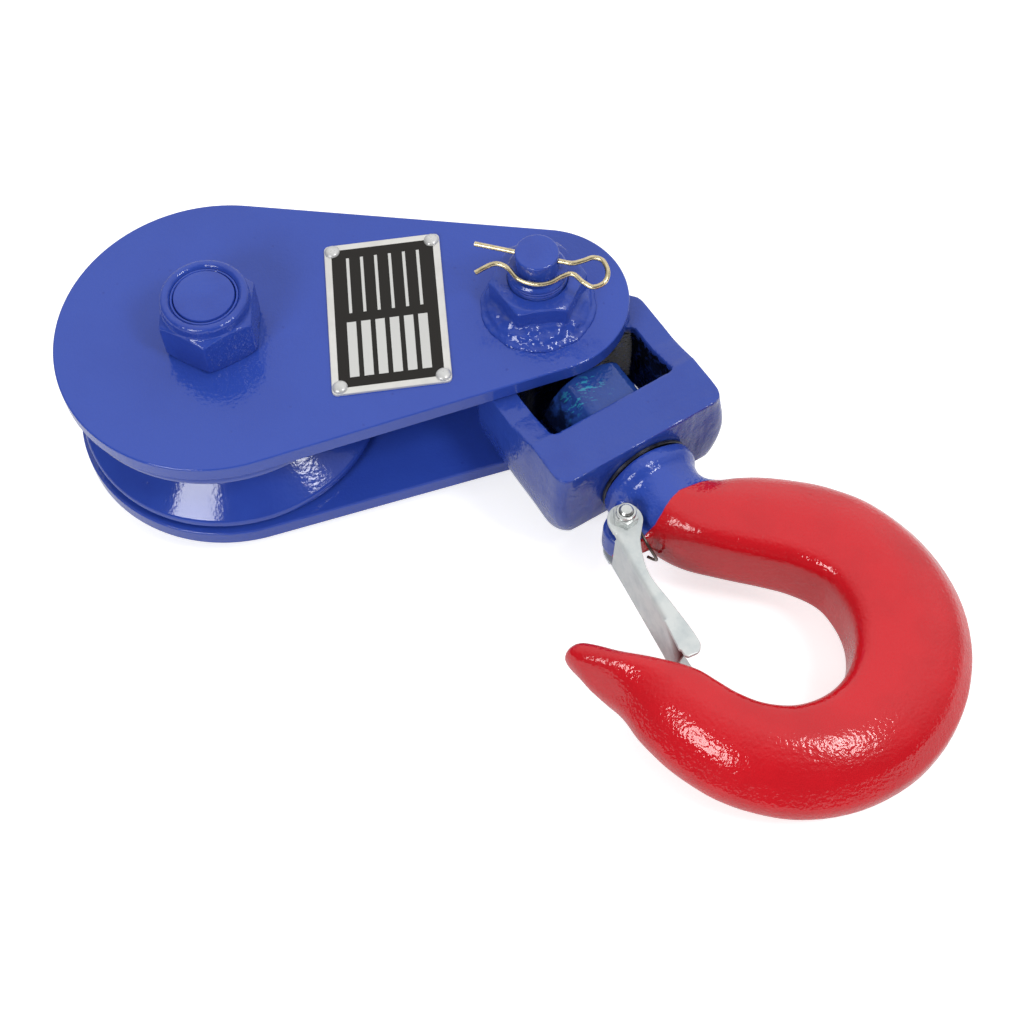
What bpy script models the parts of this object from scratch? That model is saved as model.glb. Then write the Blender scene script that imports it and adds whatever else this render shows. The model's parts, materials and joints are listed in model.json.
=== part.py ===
# A four-and-a-half inch snatch block with a swivel hook, lying on its bolt heads and its hook.
# All sizes are in metres. The block is modelled in its own frame: the centre bolt is the Z axis,
# the front plate's outer face is z = 0, and +X points at the yoke bolt. The whole frame is then
# laid down on a floor at z = 0, until the hook touches.

import math

import bmesh
import bpy
from mathutils import Matrix, Vector

# Running and seating clearance
CLEAR = 0.0003
# Corners nearer than this become one
WELD_DISTANCE = 0.00001

# Side plates
BOLT_SPACING = 0.1183
PLATE_THICKNESS = 0.0069
PLATE_GAP = 0.0386
PLATE_BIG_RADIUS = 0.0588
FRONT_SMALL_RADIUS = 0.0320
REAR_SMALL_RADIUS = 0.0355
SMALL_END_SHIFT = 0.0011
PLATE_EDGE_ROUND = 0.0007

# Sheave and its bearing
SHEAVE_RADIUS = 0.05715
SHEAVE_TREAD_RADIUS = 0.0430
ROPE_GROOVE_RADIUS = 0.0070
GROOVE_FLANK_DEG = 47.0
RIM_THICKNESS = 0.0038
RIM_ROUND = 0.0010
BUSH_WALL = 0.0036
THRUST_WASHER_THICKNESS = 0.0012
THRUST_WASHER_WIDTH = 0.0095

# Centre bolt and lock nut
CENTRE_BOLT_RADIUS = 0.0120
HEAD_ACROSS_FLATS = 0.0360
HEAD_HEIGHT = 0.0147
BOLT_CHAMFER = 0.0012
LOCK_NUT_ACROSS_FLATS = 0.0330
LOCK_NUT_HEX_HEIGHT = 0.0172
LOCK_NUT_COLLAR_RADIUS = 0.0160
LOCK_NUT_HEIGHT = 0.0225
LOCK_NUT_CORNER_DEG = 25.4
BOLT_END_BELOW_NUT = 0.0006
NYLON_WALL = 0.0020
NYLON_HEIGHT = 0.0036
NYLON_LIP = 0.0009
NYLON_LIP_OVERHANG = 0.0009

# Grease nipple, sunk in the centre bolt's head
NIPPLE_WELL_RADIUS = 0.0062
NIPPLE_WELL_DEPTH = 0.0085
NIPPLE_ACROSS_FLATS = 0.0070
NIPPLE_HEX_HEIGHT = 0.0030
NIPPLE_LENGTH = 0.0078
NIPPLE_TIP_RADIUS = 0.0024

# Yoke bolt, its weld nut and the weld
YOKE_BOLT_RADIUS = 0.0110
YOKE_BOLT_THREAD_TOP = 0.0192
YOKE_BOLT_END_RADIUS = 0.0079
YOKE_BOLT_TOP = 0.0278
CLIP_HOLE_RADIUS = 0.0013
CLIP_HOLE_BELOW_TOP = 0.0028
CLIP_TURN_DEG = -21.5
WELD_NUT_ACROSS_FLATS = 0.0310
WELD_NUT_HEIGHT = 0.0135
WELD_HEIGHT = 0.0060
WELD_TOE_RADIUS = 0.0226
WELD_TOE_SWELL = 0.0034
WELD_TOE_SWELL_DEG = -98.0

# Hairpin clip
CLIP_WIRE_RADIUS = 0.0009
CLIP_DROOP_DEG = 18.0
CLIP_LEG_BACK = 0.0229
CLIP_LOOP_START = 0.0130
CLIP_LOOP_FAR = 0.0258
CLIP_HUMP = 0.0101

# Yoke
YOKE_TURN_DEG = -64.0
YOKE_FRONT = 0.0697
YOKE_FRONT_DRAFT = 0.0060
CROSSBAR_DEPTH = 0.0195
CROSSBAR_HEIGHT = 0.0440
YOKE_WIDTH = 0.0724
YOKE_EDGE_WIDTH = 0.0672
YOKE_ARM_THICKNESS = 0.0110
YOKE_CORNER_RADIUS = 0.0062
YOKE_HUB_RADIUS = 0.0175
YOKE_HUB_CLEARANCE = 0.0006
YOKE_HUB_BOSS = 0.0006
YOKE_SLOPE_START = 0.0360
YOKE_STEP = 0.0010
YOKE_TAPER_START = 0.0250
YOKE_EDGE_ROUND = 0.0022
YOKE_LOW_ROUND = 0.0080
YOKE_WINDOW_BACK = 0.0205

# Hook shank, nut and washer
SHANK_RADIUS = 0.0125
SHANK_HOLE_CLEARANCE = 0.0015
HOOK_NUT_ACROSS_FLATS = 0.0344
HOOK_NUT_HEIGHT = 0.0193
HOOK_NUT_CORNER_DEG = 25.0
HOOK_NUT_CLEARANCE = 0.0004
SHANK_PAST_NUT = 0.0006
HOOK_WASHER_THICKNESS = 0.0013
COLLAR_RADIUS = 0.0183
COLLAR_HEIGHT = 0.0042
NECK_RADIUS = 0.0154
NECK_AT = 0.0830
HOOK_ROLL_DEG = -4.05

# Hook body. The bowl's centre lies on the shank's axis.
BOWL_CENTRE = 0.1550
HOOK_HALF_THICKNESS = 0.0160

# Latch lug, latch, its bolt and its spring
LATCH_PIVOT_ALONG = 0.0876
LATCH_PIVOT_ACROSS = -0.0206
LATCH_CLOSED_DEG = -6.3
LUG_RADIUS = 0.0073
LUG_HALF_THICKNESS = 0.0055
LATCH_HALF_HEIGHT = 0.0110
LATCH_SHEET = 0.0015
LATCH_EAR_RADIUS = 0.0063
LATCH_LENGTH = 0.0567
LATCH_SLIT_AT = 0.0415
LATCH_WEB_START = 0.0050
LATCH_TIP_BEND = 0.0039
LATCH_TIP_ALONG = 0.0533
LATCH_BOLT_RADIUS = 0.0025
LATCH_BOLT_ACROSS_FLATS = 0.0080
LATCH_BOLT_HEAD_HEIGHT = 0.0035
LATCH_NUT_HEIGHT = 0.0050
LATCH_BOLT_PAST_NUT = 0.0010
SPRING_WIRE_RADIUS = 0.00055
SPRING_COIL_RADIUS = 0.0037
SPRING_TURNS = 1.75
SPRING_PITCH = 0.0013

# Name plate, bare, and its drive rivets
NAMEPLATE_WIDTH = 0.0430
NAMEPLATE_LENGTH = 0.0664
NAMEPLATE_THICKNESS = 0.0010
NAMEPLATE_CENTRE = (0.0629, 0.0002)
NAMEPLATE_TURN_DEG = 1.5
NAMEPLATE_CORNER = 0.0015
RIVET_HEAD_RADIUS = 0.0025
RIVET_HEAD_HEIGHT = 0.0014
RIVET_SHANK_RADIUS = 0.0012
RIVET_SHANK_LENGTH = 0.0042
RIVET_INSET = 0.0040

# Facets
FINE = 48
ROUND = 32
SMALL = 16

# Places worked out from the sizes above
MID_Z = -(PLATE_THICKNESS + PLATE_GAP / 2)
REAR_FACE_Z = -(2 * PLATE_THICKNESS + PLATE_GAP)
HEAD_SEAT_Z = REAR_FACE_Z - CLEAR
HEAD_FACE_Z = HEAD_SEAT_Z - HEAD_HEIGHT
SHEAVE_WIDTH = PLATE_GAP - 2 * (THRUST_WASHER_THICKNESS + 2 * CLEAR)
BUSH_INNER_RADIUS = CENTRE_BOLT_RADIUS + CLEAR
BUSH_OUTER_RADIUS = BUSH_INNER_RADIUS + BUSH_WALL
SHEAVE_BORE_RADIUS = BUSH_OUTER_RADIUS + CLEAR
CROSSBAR_BACK = YOKE_FRONT - CROSSBAR_DEPTH
WINDOW_HALF_WIDTH = YOKE_WIDTH / 2 - YOKE_ARM_THICKNESS
COLLAR_AT = YOKE_FRONT + 2 * CLEAR + HOOK_WASHER_THICKNESS
HOOK_NUT_SEAT = CROSSBAR_BACK - CLEAR
SHANK_END = HOOK_NUT_SEAT - HOOK_NUT_HEIGHT - SHANK_PAST_NUT
CLIP_HOLE_Z = YOKE_BOLT_TOP - CLIP_HOLE_BELOW_TOP

for old in list(bpy.data.objects):
    bpy.data.objects.remove(old)

block = bpy.data.collections.new("snatch_block")
cutters = bpy.data.collections.new("cutters")
bpy.context.scene.collection.children.link(block)
bpy.context.scene.collection.children.link(cutters)


# Materials

def material(name, colour, roughness, metallic=0.0):
    made = bpy.data.materials.new(name)
    made.use_nodes = True
    shader = made.node_tree.nodes["Principled BSDF"]
    shader.inputs["Base Color"].default_value = (*colour, 1.0)
    shader.inputs["Roughness"].default_value = roughness
    shader.inputs["Metallic"].default_value = metallic
    return made


BLUE_PAINT = material("blue_paint", (0.022, 0.035, 0.40), 0.30)
RED_PAINT = material("red_paint", (0.60, 0.008, 0.016), 0.22)
ZINC = material("zinc_plate", (0.62, 0.65, 0.66), 0.38, 1.0)
BRIGHT_STEEL = material("bright_steel", (0.60, 0.60, 0.58), 0.30, 1.0)
YELLOW_ZINC = material("yellow_zinc", (0.60, 0.50, 0.30), 0.30, 1.0)
DARK_STEEL = material("dark_steel", (0.10, 0.10, 0.11), 0.40, 1.0)
BRONZE = material("bronze", (0.55, 0.33, 0.13), 0.35, 1.0)
BLUE_NYLON = material("painted_nylon", (0.020, 0.030, 0.34), 0.45)
ETCHED_ALUMINIUM = material("etched_aluminium", (0.05, 0.05, 0.055), 0.45)


# Making and joining solids

def empty(name, parent, location=(0, 0, 0), rotation=(0, 0, 0)):
    made = bpy.data.objects.new(name, None)
    block.objects.link(made)
    made.parent = parent
    made.location = location
    made.rotation_euler = rotation
    return made


def place(name, mesh, parent, finish=None):
    """A piece of the block, or with no finish a cutter."""
    made = bpy.data.objects.new(name, mesh)
    made.parent = parent
    if finish is None:
        cutters.objects.link(made)
        made.hide_render = True
        made.display_type = "WIRE"
    else:
        block.objects.link(made)
        mesh.materials.clear()
        mesh.materials.append(finish)
    return made


def evaluated_mesh(source):
    graph = bpy.context.evaluated_depsgraph_get()
    return bpy.data.meshes.new_from_object(source.evaluated_get(graph))


def apply_modifiers(target):
    bpy.context.view_layer.update()
    old = target.data
    target.data = evaluated_mesh(target)
    target.modifiers.clear()
    bpy.data.meshes.remove(old)
    return target


def combine(target, tool, operation):
    """Cut, join or intersect target with tool, and put the tool away."""
    step = target.modifiers.new(operation.lower(), "BOOLEAN")
    step.object = tool
    step.operation = operation
    step.solver = "EXACT"
    weld = target.modifiers.new("weld", "WELD")
    weld.merge_threshold = WELD_DISTANCE
    apply_modifiers(target)
    bpy.data.objects.remove(tool)
    return target


def smooth(target, angle_deg=35.0):
    target.data.shade_smooth()
    target.data.set_sharp_from_angle(angle=math.radians(angle_deg))
    return target


def round_edges(target, width, segments=2, angle_deg=40.0):
    step = target.modifiers.new("round_edges", "BEVEL")
    step.width = width
    step.segments = segments
    step.limit_method = "ANGLE"
    step.angle_limit = math.radians(angle_deg)
    return apply_modifiers(target)


def turned(name, profile, steps, parent, finish=None, closed=False):
    """A turned form about Z from (radius, height) points that run down its outer side."""
    mesh = bpy.data.meshes.new(name)
    edges = [(i, i + 1) for i in range(len(profile) - 1)]
    if closed:
        edges.append((len(profile) - 1, 0))
    mesh.from_pydata([(radius, 0.0, height) for radius, height in profile], edges, [])
    made = place(name, mesh, parent, finish)
    step = made.modifiers.new("turn", "SCREW")
    step.axis = "Z"
    step.steps = steps
    step.render_steps = steps
    step.use_merge_vertices = True
    step.merge_threshold = 0.00001
    apply_modifiers(made)
    if finish is not None:
        made.data.materials.clear()
        made.data.materials.append(finish)
        smooth(made)
    return made


def ring(name, inner, outer, bottom, top, steps, parent, finish):
    profile = [(outer, top), (outer, bottom), (inner, bottom), (inner, top)]
    return turned(name, profile, steps, parent, finish, closed=True)


def cylinder(name, radius, bottom, top, sides, parent, finish=None, turn=None):
    """An upright prism or cylinder, turned by a matrix."""
    mesh = bpy.data.meshes.new(name)
    shape = bmesh.new()
    middle = Matrix.Translation((0, 0, (bottom + top) / 2))
    bmesh.ops.create_cone(shape, cap_ends=True, segments=sides, radius1=radius, radius2=radius,
                          depth=top - bottom, matrix=(turn or Matrix()) @ middle)
    shape.to_mesh(mesh)
    shape.free()
    return place(name, mesh, parent, finish)


def hexagon(name, across_flats, bottom, top, corner_deg, parent, finish, chamfers="both",
            turned_radius=None):
    """A hexagon with its corners turned off at the top, the bottom or both."""
    corner_radius = across_flats / math.sqrt(3)
    # A prism's first corner lies on +Y
    turn = Matrix.Rotation(math.radians(corner_deg - 90), 4, "Z")
    made = cylinder(name, corner_radius, bottom, top, 6, parent, finish, turn)
    face_radius = across_flats / 2
    outer = turned_radius or corner_radius + 0.001
    drop = (outer - face_radius) * math.tan(math.radians(30))
    upper = drop if chamfers in ("both", "top") else 0.0
    lower = drop if chamfers in ("both", "bottom") else 0.0
    over = 0.001
    profile = [(0, top + over)] if not upper else [(0, top), (face_radius, top)]
    profile += [(outer, top - upper)] if upper else [(outer, top + over)]
    profile += [(outer, bottom + lower)] if lower else [(outer, bottom - over)]
    profile += [(face_radius, bottom), (0, bottom)] if lower else [(0, bottom - over)]
    return combine(made, turned(name + "_chamfer", profile, ROUND, parent), "INTERSECT")


def outline_solid(name, loops, bottom, top, parent, finish=None):
    """A flat outline, with holes as further loops, given its thickness."""
    curve = bpy.data.curves.new(name, "CURVE")
    curve.dimensions = "2D"
    curve.fill_mode = "BOTH"
    curve.extrude = (top - bottom) / 2
    for loop in loops:
        spline = curve.splines.new("POLY")
        spline.points.add(len(loop) - 1)
        for point, (x, y) in zip(spline.points, loop):
            point.co = (x, y, 0.0, 1.0)
        spline.use_cyclic_u = True
    flat = bpy.data.objects.new(name, curve)
    block.objects.link(flat)
    bpy.context.view_layer.update()
    mesh = evaluated_mesh(flat)
    bpy.data.objects.remove(flat)
    shape = bmesh.new()
    shape.from_mesh(mesh)
    bmesh.ops.remove_doubles(shape, verts=shape.verts, dist=0.00001)
    bmesh.ops.translate(shape, verts=shape.verts, vec=(0, 0, (top + bottom) / 2))
    shape.to_mesh(mesh)
    shape.free()
    return place(name, mesh, parent, finish)


def wire(name, points, radius, parent, finish):
    curve = bpy.data.curves.new(name, "CURVE")
    curve.dimensions = "3D"
    curve.bevel_depth = radius
    curve.bevel_resolution = 2
    curve.use_fill_caps = True
    spline = curve.splines.new("POLY")
    spline.points.add(len(points) - 1)
    for point, (x, y, z) in zip(spline.points, points):
        point.co = (x, y, z, 1.0)
    curve.materials.append(finish)
    made = bpy.data.objects.new(name, curve)
    block.objects.link(made)
    made.parent = parent
    return made


# Outlines and curves

def arc(centre, radius, start_deg, end_deg, count):
    """Points on an arc, both ends included."""
    points = []
    for i in range(count + 1):
        angle = math.radians(start_deg + (end_deg - start_deg) * i / count)
        points.append((centre[0] + radius * math.cos(angle), centre[1] + radius * math.sin(angle)))
    return points


def circle(centre, radius, count):
    return arc(centre, radius, 0, 360, count)[:-1]


def smooth_path(points, per_span):
    """A Catmull-Rom curve through points of any number of values."""
    padded = [points[0], *points, points[-1]]
    path = []
    for i in range(1, len(padded) - 2):
        before, start, end, after = padded[i - 1:i + 3]
        for step in range(per_span):
            t = step / per_span
            path.append(tuple(
                0.5 * (2 * b + (c - a) * t + (2 * a - 5 * b + 4 * c - d) * t * t
                       + (3 * b - a - 3 * c + d) * t ** 3)
                for a, b, c, d in zip(before, start, end, after)))
    path.append(tuple(points[-1]))
    return path


def rounded(corners, radius, count):
    """A closed outline with each corner replaced by an arc-like curve, of one radius or its own."""
    points = []
    total = len(corners)
    radii = radius if isinstance(radius, tuple) else total * (radius,)
    for i in range(total):
        here = Vector(corners[i])
        before = (Vector(corners[i - 1]) - here).normalized()
        after = (Vector(corners[(i + 1) % total]) - here).normalized()
        reach = radii[i] / math.tan(before.angle(after) / 2)
        start = here + before * reach
        end = here + after * reach
        for step in range(count + 1):
            t = step / count
            spot = start * (1 - t) ** 2 + here * 2 * t * (1 - t) + end * t * t
            points.append((spot.x, spot.y))
    return points


def loft(name, rings, parent, finish):
    """A closed skin through rings of as many points each, capped at both ends."""
    mesh = bpy.data.meshes.new(name)
    shape = bmesh.new()
    rows = [[shape.verts.new(point) for point in row] for row in rings]
    count = len(rows[0])
    for near, far in zip(rows, rows[1:]):
        for i in range(count):
            j = (i + 1) % count
            shape.faces.new((near[i], near[j], far[j], far[i]))
    shape.faces.new(list(reversed(rows[0])))
    shape.faces.new(rows[-1])
    bmesh.ops.recalc_face_normals(shape, faces=shape.faces)
    shape.to_mesh(mesh)
    shape.free()
    return place(name, mesh, parent, finish)


# Frames of the block and of what moves in it

floor_frame = empty("floor_frame", None)
sheave_axis = empty("sheave_axis", floor_frame, (0, 0, MID_Z))
yoke_axis = empty("yoke_axis", floor_frame, (BOLT_SPACING, 0, MID_Z),
                  (0, 0, math.radians(YOKE_TURN_DEG)))
hook_axis = empty("hook_axis", yoke_axis, (0, 0, 0), (math.radians(HOOK_ROLL_DEG), 0, 0))
latch_axis = empty("latch_axis", hook_axis, (LATCH_PIVOT_ALONG, LATCH_PIVOT_ACROSS, 0),
                   (0, 0, math.radians(LATCH_CLOSED_DEG)))
ALONG_SHANK = Matrix.Rotation(math.radians(90), 4, "Y")


# Side plates

def plate_outline(small_radius):
    """Two round ends and the straight lines that touch both."""
    small_centre = BOLT_SPACING + SMALL_END_SHIFT
    lean = math.degrees(math.asin((PLATE_BIG_RADIUS - small_radius) / small_centre))
    touch = 90 - lean
    return (arc((0, 0), PLATE_BIG_RADIUS, touch, 360 - touch, 44)
            + arc((small_centre, 0), small_radius, -touch, touch, 26))


def side_plate(name, small_radius, bottom):
    plate = outline_solid(name, [plate_outline(small_radius)], bottom, bottom + PLATE_THICKNESS,
                          floor_frame, BLUE_PAINT)
    round_edges(plate, PLATE_EDGE_ROUND, 1)
    for x, radius in ((0.0, CENTRE_BOLT_RADIUS), (BOLT_SPACING, YOKE_BOLT_RADIUS)):
        drill(plate, (x, 0, bottom), radius + CLEAR, PLATE_THICKNESS, ROUND)
    return plate


def drill(plate, foot, radius, depth, sides):
    """A hole up from foot, through whatever is as thick as depth."""
    half_step = Matrix.Rotation(math.pi / sides, 4, "Z")
    turn = Matrix.Translation((foot[0], foot[1], 0)) @ half_step
    tool = cylinder("drill", radius, foot[2] - 0.001, foot[2] + depth + 0.001, sides, floor_frame,
                    turn=turn)
    return combine(plate, tool, "DIFFERENCE")


def on_nameplate(across, along):
    """A point of the name plate, from its centre, in the block's frame."""
    turn = math.radians(NAMEPLATE_TURN_DEG)
    return (NAMEPLATE_CENTRE[0] + across * math.cos(turn) - along * math.sin(turn),
            NAMEPLATE_CENTRE[1] + across * math.sin(turn) + along * math.cos(turn))


def rivet_places():
    across = NAMEPLATE_WIDTH / 2 - RIVET_INSET
    along = NAMEPLATE_LENGTH / 2 - RIVET_INSET
    return [on_nameplate(x, y) for x, y in
            ((-across, along), (across, along), (across, -along), (-across, -along))]


front_plate = side_plate("front_side_plate", FRONT_SMALL_RADIUS, -PLATE_THICKNESS)
for hole_x, hole_y in rivet_places():
    drill(front_plate, (hole_x, hole_y, -PLATE_THICKNESS), RIVET_SHANK_RADIUS + CLEAR,
          PLATE_THICKNESS, 8)
smooth(front_plate)
smooth(side_plate("rear_side_plate", REAR_SMALL_RADIUS, REAR_FACE_Z))


# Sheave, bush and thrust washers

def groove_profile():
    """The rope groove, from the upper rim in to the tread and out to the lower rim."""
    half = SHEAVE_WIDTH / 2
    mouth = half - RIM_THICKNESS
    centre = SHEAVE_TREAD_RADIUS + ROPE_GROOVE_RADIUS
    flank = math.radians(GROOVE_FLANK_DEG)
    upper = [(SHEAVE_RADIUS, mouth)]
    for i in range(4):
        angle = flank * (1 - i / 3.5)
        upper.append((centre - ROPE_GROOVE_RADIUS * math.cos(angle),
                      ROPE_GROOVE_RADIUS * math.sin(angle)))
    lower = [(radius, -height) for radius, height in reversed(upper)]
    return upper + lower


def make_sheave():
    half = SHEAVE_WIDTH / 2
    upper = [(SHEAVE_BORE_RADIUS, half), (SHEAVE_RADIUS - RIM_ROUND, half),
             (SHEAVE_RADIUS, half - RIM_ROUND)]
    lower = [(radius, -height) for radius, height in reversed(upper)]
    turned("sheave", upper + groove_profile() + lower, FINE, sheave_axis, BLUE_PAINT, closed=True)
    ring("sheave_bush", BUSH_INNER_RADIUS, BUSH_OUTER_RADIUS, -half, half, ROUND, sheave_axis,
         BRONZE)


def thrust_washer(name, bottom):
    outer = BUSH_INNER_RADIUS + THRUST_WASHER_WIDTH
    ring(name, BUSH_INNER_RADIUS, outer, bottom, bottom + THRUST_WASHER_THICKNESS, ROUND,
         floor_frame, DARK_STEEL)


make_sheave()
thrust_washer("front_thrust_washer", -PLATE_THICKNESS - CLEAR - THRUST_WASHER_THICKNESS)
thrust_washer("rear_thrust_washer", REAR_FACE_Z + PLATE_THICKNESS + CLEAR)


# Bolts

def bolt(name, shank_profile, x):
    """A hexagon head against the rear plate, joined to a turned shank."""
    frame = empty(name + "_axis", floor_frame, (x, 0, 0))
    head = hexagon(name, HEAD_ACROSS_FLATS, HEAD_FACE_Z, HEAD_SEAT_Z, 0.0, frame, BLUE_PAINT,
                   "bottom")
    foot = HEAD_SEAT_Z - HEAD_HEIGHT / 3
    profile = [*shank_profile, (shank_profile[-1][0], foot), (0, foot)]
    combine(head, turned(name + "_shank", profile, ROUND, frame), "UNION")
    return head, frame


def centre_bolt():
    end = LOCK_NUT_HEIGHT + CLEAR - BOLT_END_BELOW_NUT
    profile = [(0, end), (CENTRE_BOLT_RADIUS - BOLT_CHAMFER, end),
               (CENTRE_BOLT_RADIUS, end - BOLT_CHAMFER)]
    body, frame = bolt("centre_bolt", profile, 0.0)
    well = cylinder("nipple_well", NIPPLE_WELL_RADIUS, HEAD_FACE_Z - CLEAR,
                    HEAD_FACE_Z + NIPPLE_WELL_DEPTH, SMALL, frame)
    smooth(combine(body, well, "DIFFERENCE"))
    nipple_foot = HEAD_FACE_Z + NIPPLE_WELL_DEPTH - CLEAR
    nipple_hex = nipple_foot - NIPPLE_HEX_HEIGHT
    nipple = hexagon("grease_nipple", NIPPLE_ACROSS_FLATS, nipple_hex, nipple_foot, 0.0, frame,
                     BRIGHT_STEEL, "bottom")
    tip = nipple_foot - NIPPLE_LENGTH
    waist = NIPPLE_TIP_RADIUS * 0.7
    profile = [(0, nipple_hex + CLEAR), (NIPPLE_TIP_RADIUS, nipple_hex + CLEAR),
               (NIPPLE_TIP_RADIUS, nipple_hex - 0.0008), (waist, nipple_hex - 0.0016),
               (NIPPLE_TIP_RADIUS, tip + 0.0018), (NIPPLE_TIP_RADIUS, tip + 0.0010),
               (waist, tip), (0, tip)]
    smooth(combine(nipple, turned("nipple_tip", profile, SMALL, frame), "UNION"))


def yoke_bolt():
    thread = YOKE_BOLT_THREAD_TOP
    profile = [(0, YOKE_BOLT_TOP), (YOKE_BOLT_END_RADIUS - 0.0007, YOKE_BOLT_TOP),
               (YOKE_BOLT_END_RADIUS, YOKE_BOLT_TOP - 0.0007), (YOKE_BOLT_END_RADIUS, thread),
               (YOKE_BOLT_RADIUS - BOLT_CHAMFER, thread),
               (YOKE_BOLT_RADIUS, thread - BOLT_CHAMFER)]
    body, frame = bolt("yoke_bolt", profile, BOLT_SPACING)
    across = (Matrix.Translation((0, 0, CLIP_HOLE_Z))
              @ Matrix.Rotation(math.radians(CLIP_TURN_DEG), 4, "Z") @ ALONG_SHANK)
    hole = cylinder("clip_hole", CLIP_HOLE_RADIUS, -YOKE_BOLT_RADIUS, YOKE_BOLT_RADIUS, SMALL,
                    frame, turn=across)
    smooth(combine(body, hole, "DIFFERENCE"))


centre_bolt()
yoke_bolt()


# Nuts on the front plate

def centre_lock_nut():
    seat = CLEAR
    top = seat + LOCK_NUT_HEIGHT
    nut = hexagon("centre_lock_nut", LOCK_NUT_ACROSS_FLATS, seat, seat + LOCK_NUT_HEX_HEIGHT,
                  LOCK_NUT_CORNER_DEG, floor_frame, BLUE_PAINT)
    foot = seat + LOCK_NUT_HEX_HEIGHT - 0.003
    collar = LOCK_NUT_COLLAR_RADIUS
    profile = [(0, top), (collar - 0.0016, top), (collar - 0.0005, top - 0.0005),
               (collar, top - 0.0016), (collar, foot), (0, foot)]
    combine(nut, turned("collar", profile, ROUND, floor_frame), "UNION")
    bore = CENTRE_BOLT_RADIUS + CLEAR
    seat_radius = bore + NYLON_WALL + CLEAR
    lip = seat_radius - NYLON_LIP_OVERHANG
    nylon_top = top - NYLON_LIP
    nylon_foot = nylon_top - NYLON_HEIGHT
    profile = [(0, top + 0.001), (lip, top + 0.001), (lip, nylon_top), (seat_radius, nylon_top),
               (seat_radius, nylon_foot), (bore, nylon_foot), (bore, seat - 0.001),
               (0, seat - 0.001)]
    smooth(combine(nut, turned("bore", profile, ROUND, floor_frame), "DIFFERENCE"))
    ring("nylon_insert", bore, bore + NYLON_WALL, nylon_foot + CLEAR, nylon_top - CLEAR, ROUND,
         floor_frame, BLUE_NYLON)


def weld_toe(angle_deg):
    """How far the weld runs out on the plate: a wide side, and the waves of the hand's rhythm."""
    wide = math.cos(math.radians(angle_deg - WELD_TOE_SWELL_DEG))
    wave = math.sin(math.radians(11 * angle_deg)) + 0.6 * math.sin(math.radians(17 * angle_deg + 40))
    return WELD_TOE_RADIUS + WELD_TOE_SWELL * wide + 0.00035 * wave


def weld_nut():
    frame = empty("weld_nut_axis", floor_frame, (BOLT_SPACING, 0, 0))
    nut = hexagon("weld_nut", WELD_NUT_ACROSS_FLATS, WELD_HEIGHT / 4, WELD_NUT_HEIGHT, 0.0, frame,
                  BLUE_PAINT, "top")
    inside = YOKE_BOLT_RADIUS - 0.0020
    shoulder = WELD_NUT_ACROSS_FLATS / 2
    rows = []
    for i in range(FINE):
        angle_deg = 360 * i / FINE
        angle = math.radians(angle_deg)
        toe = weld_toe(angle_deg)
        lump = 0.0003 * math.sin(math.radians(13 * angle_deg))
        section = [(inside, CLEAR), (toe, CLEAR), (toe - 0.0007, CLEAR + 0.0009),
                   ((toe + shoulder) / 2 + 0.0006, WELD_HEIGHT * 0.52 + lump),
                   (shoulder + 0.0014, WELD_HEIGHT * 0.86 + lump), (shoulder - 0.0012, WELD_HEIGHT),
                   (inside, WELD_HEIGHT)]
        rows.append([(r * math.cos(angle), r * math.sin(angle), z) for r, z in section])
    bead = closed_ring("weld_bead", rows, frame)
    combine(nut, bead, "UNION")
    bore = cylinder("weld_nut_bore", YOKE_BOLT_RADIUS + CLEAR, -0.001, WELD_NUT_HEIGHT + 0.001,
                    ROUND, frame)
    smooth(combine(nut, bore, "DIFFERENCE"))


def closed_ring(name, rows, parent):
    """A skin through sections that run round and meet again."""
    mesh = bpy.data.meshes.new(name)
    shape = bmesh.new()
    verts = [[shape.verts.new(point) for point in row] for row in rows]
    for i in range(len(verts)):
        near = verts[i]
        far = verts[(i + 1) % len(verts)]
        for j in range(len(near)):
            k = (j + 1) % len(near)
            shape.faces.new((near[j], near[k], far[k], far[j]))
    bmesh.ops.recalc_face_normals(shape, faces=shape.faces)
    shape.to_mesh(mesh)
    shape.free()
    return place(name, mesh, parent)


centre_lock_nut()
weld_nut()


# Hairpin clip: one leg through the yoke bolt, the other bent round its end

def hairpin_clip():
    turn = math.radians(CLIP_TURN_DEG)
    droop = math.radians(CLIP_DROOP_DEG)
    frame = empty("hairpin_axis", floor_frame, (BOLT_SPACING, 0, CLIP_HOLE_Z))
    along = Vector((math.cos(turn), math.sin(turn), 0))
    side = Vector((math.sin(turn) * math.cos(droop), -math.cos(turn) * math.cos(droop),
                   -math.sin(droop)))
    end = YOKE_BOLT_END_RADIUS
    bends = [(CLIP_LOOP_START, -0.0002), (0.0165, -0.0019), (0.0195, -0.0037),
             (0.0230, -0.0034), (CLIP_LOOP_FAR, 0.0002), (CLIP_LOOP_FAR - 0.0002, 0.0043),
             (0.0222, 0.0068), (0.0183, 0.0058), (0.0140, 0.0037),
             (0.0104, 0.0054), (0.0068, 0.0085), (0.0018, CLIP_HUMP),
             (-0.0042, CLIP_HUMP - 0.0006), (-0.0086, 0.0066), (-0.0122, 0.0055),
             (-0.0153, 0.0064), (-0.0200, 0.0105)]
    path = [(-CLIP_LEG_BACK, 0.0), (-end, 0.0), (end, 0.0)] + smooth_path(bends, 2)
    points = [along * u + side * w for u, w in path]
    smooth_wire = wire("hairpin_clip", points, CLIP_WIRE_RADIUS, frame, YELLOW_ZINC)
    return smooth_wire


hairpin_clip()


# Name plate and rivets

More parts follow.
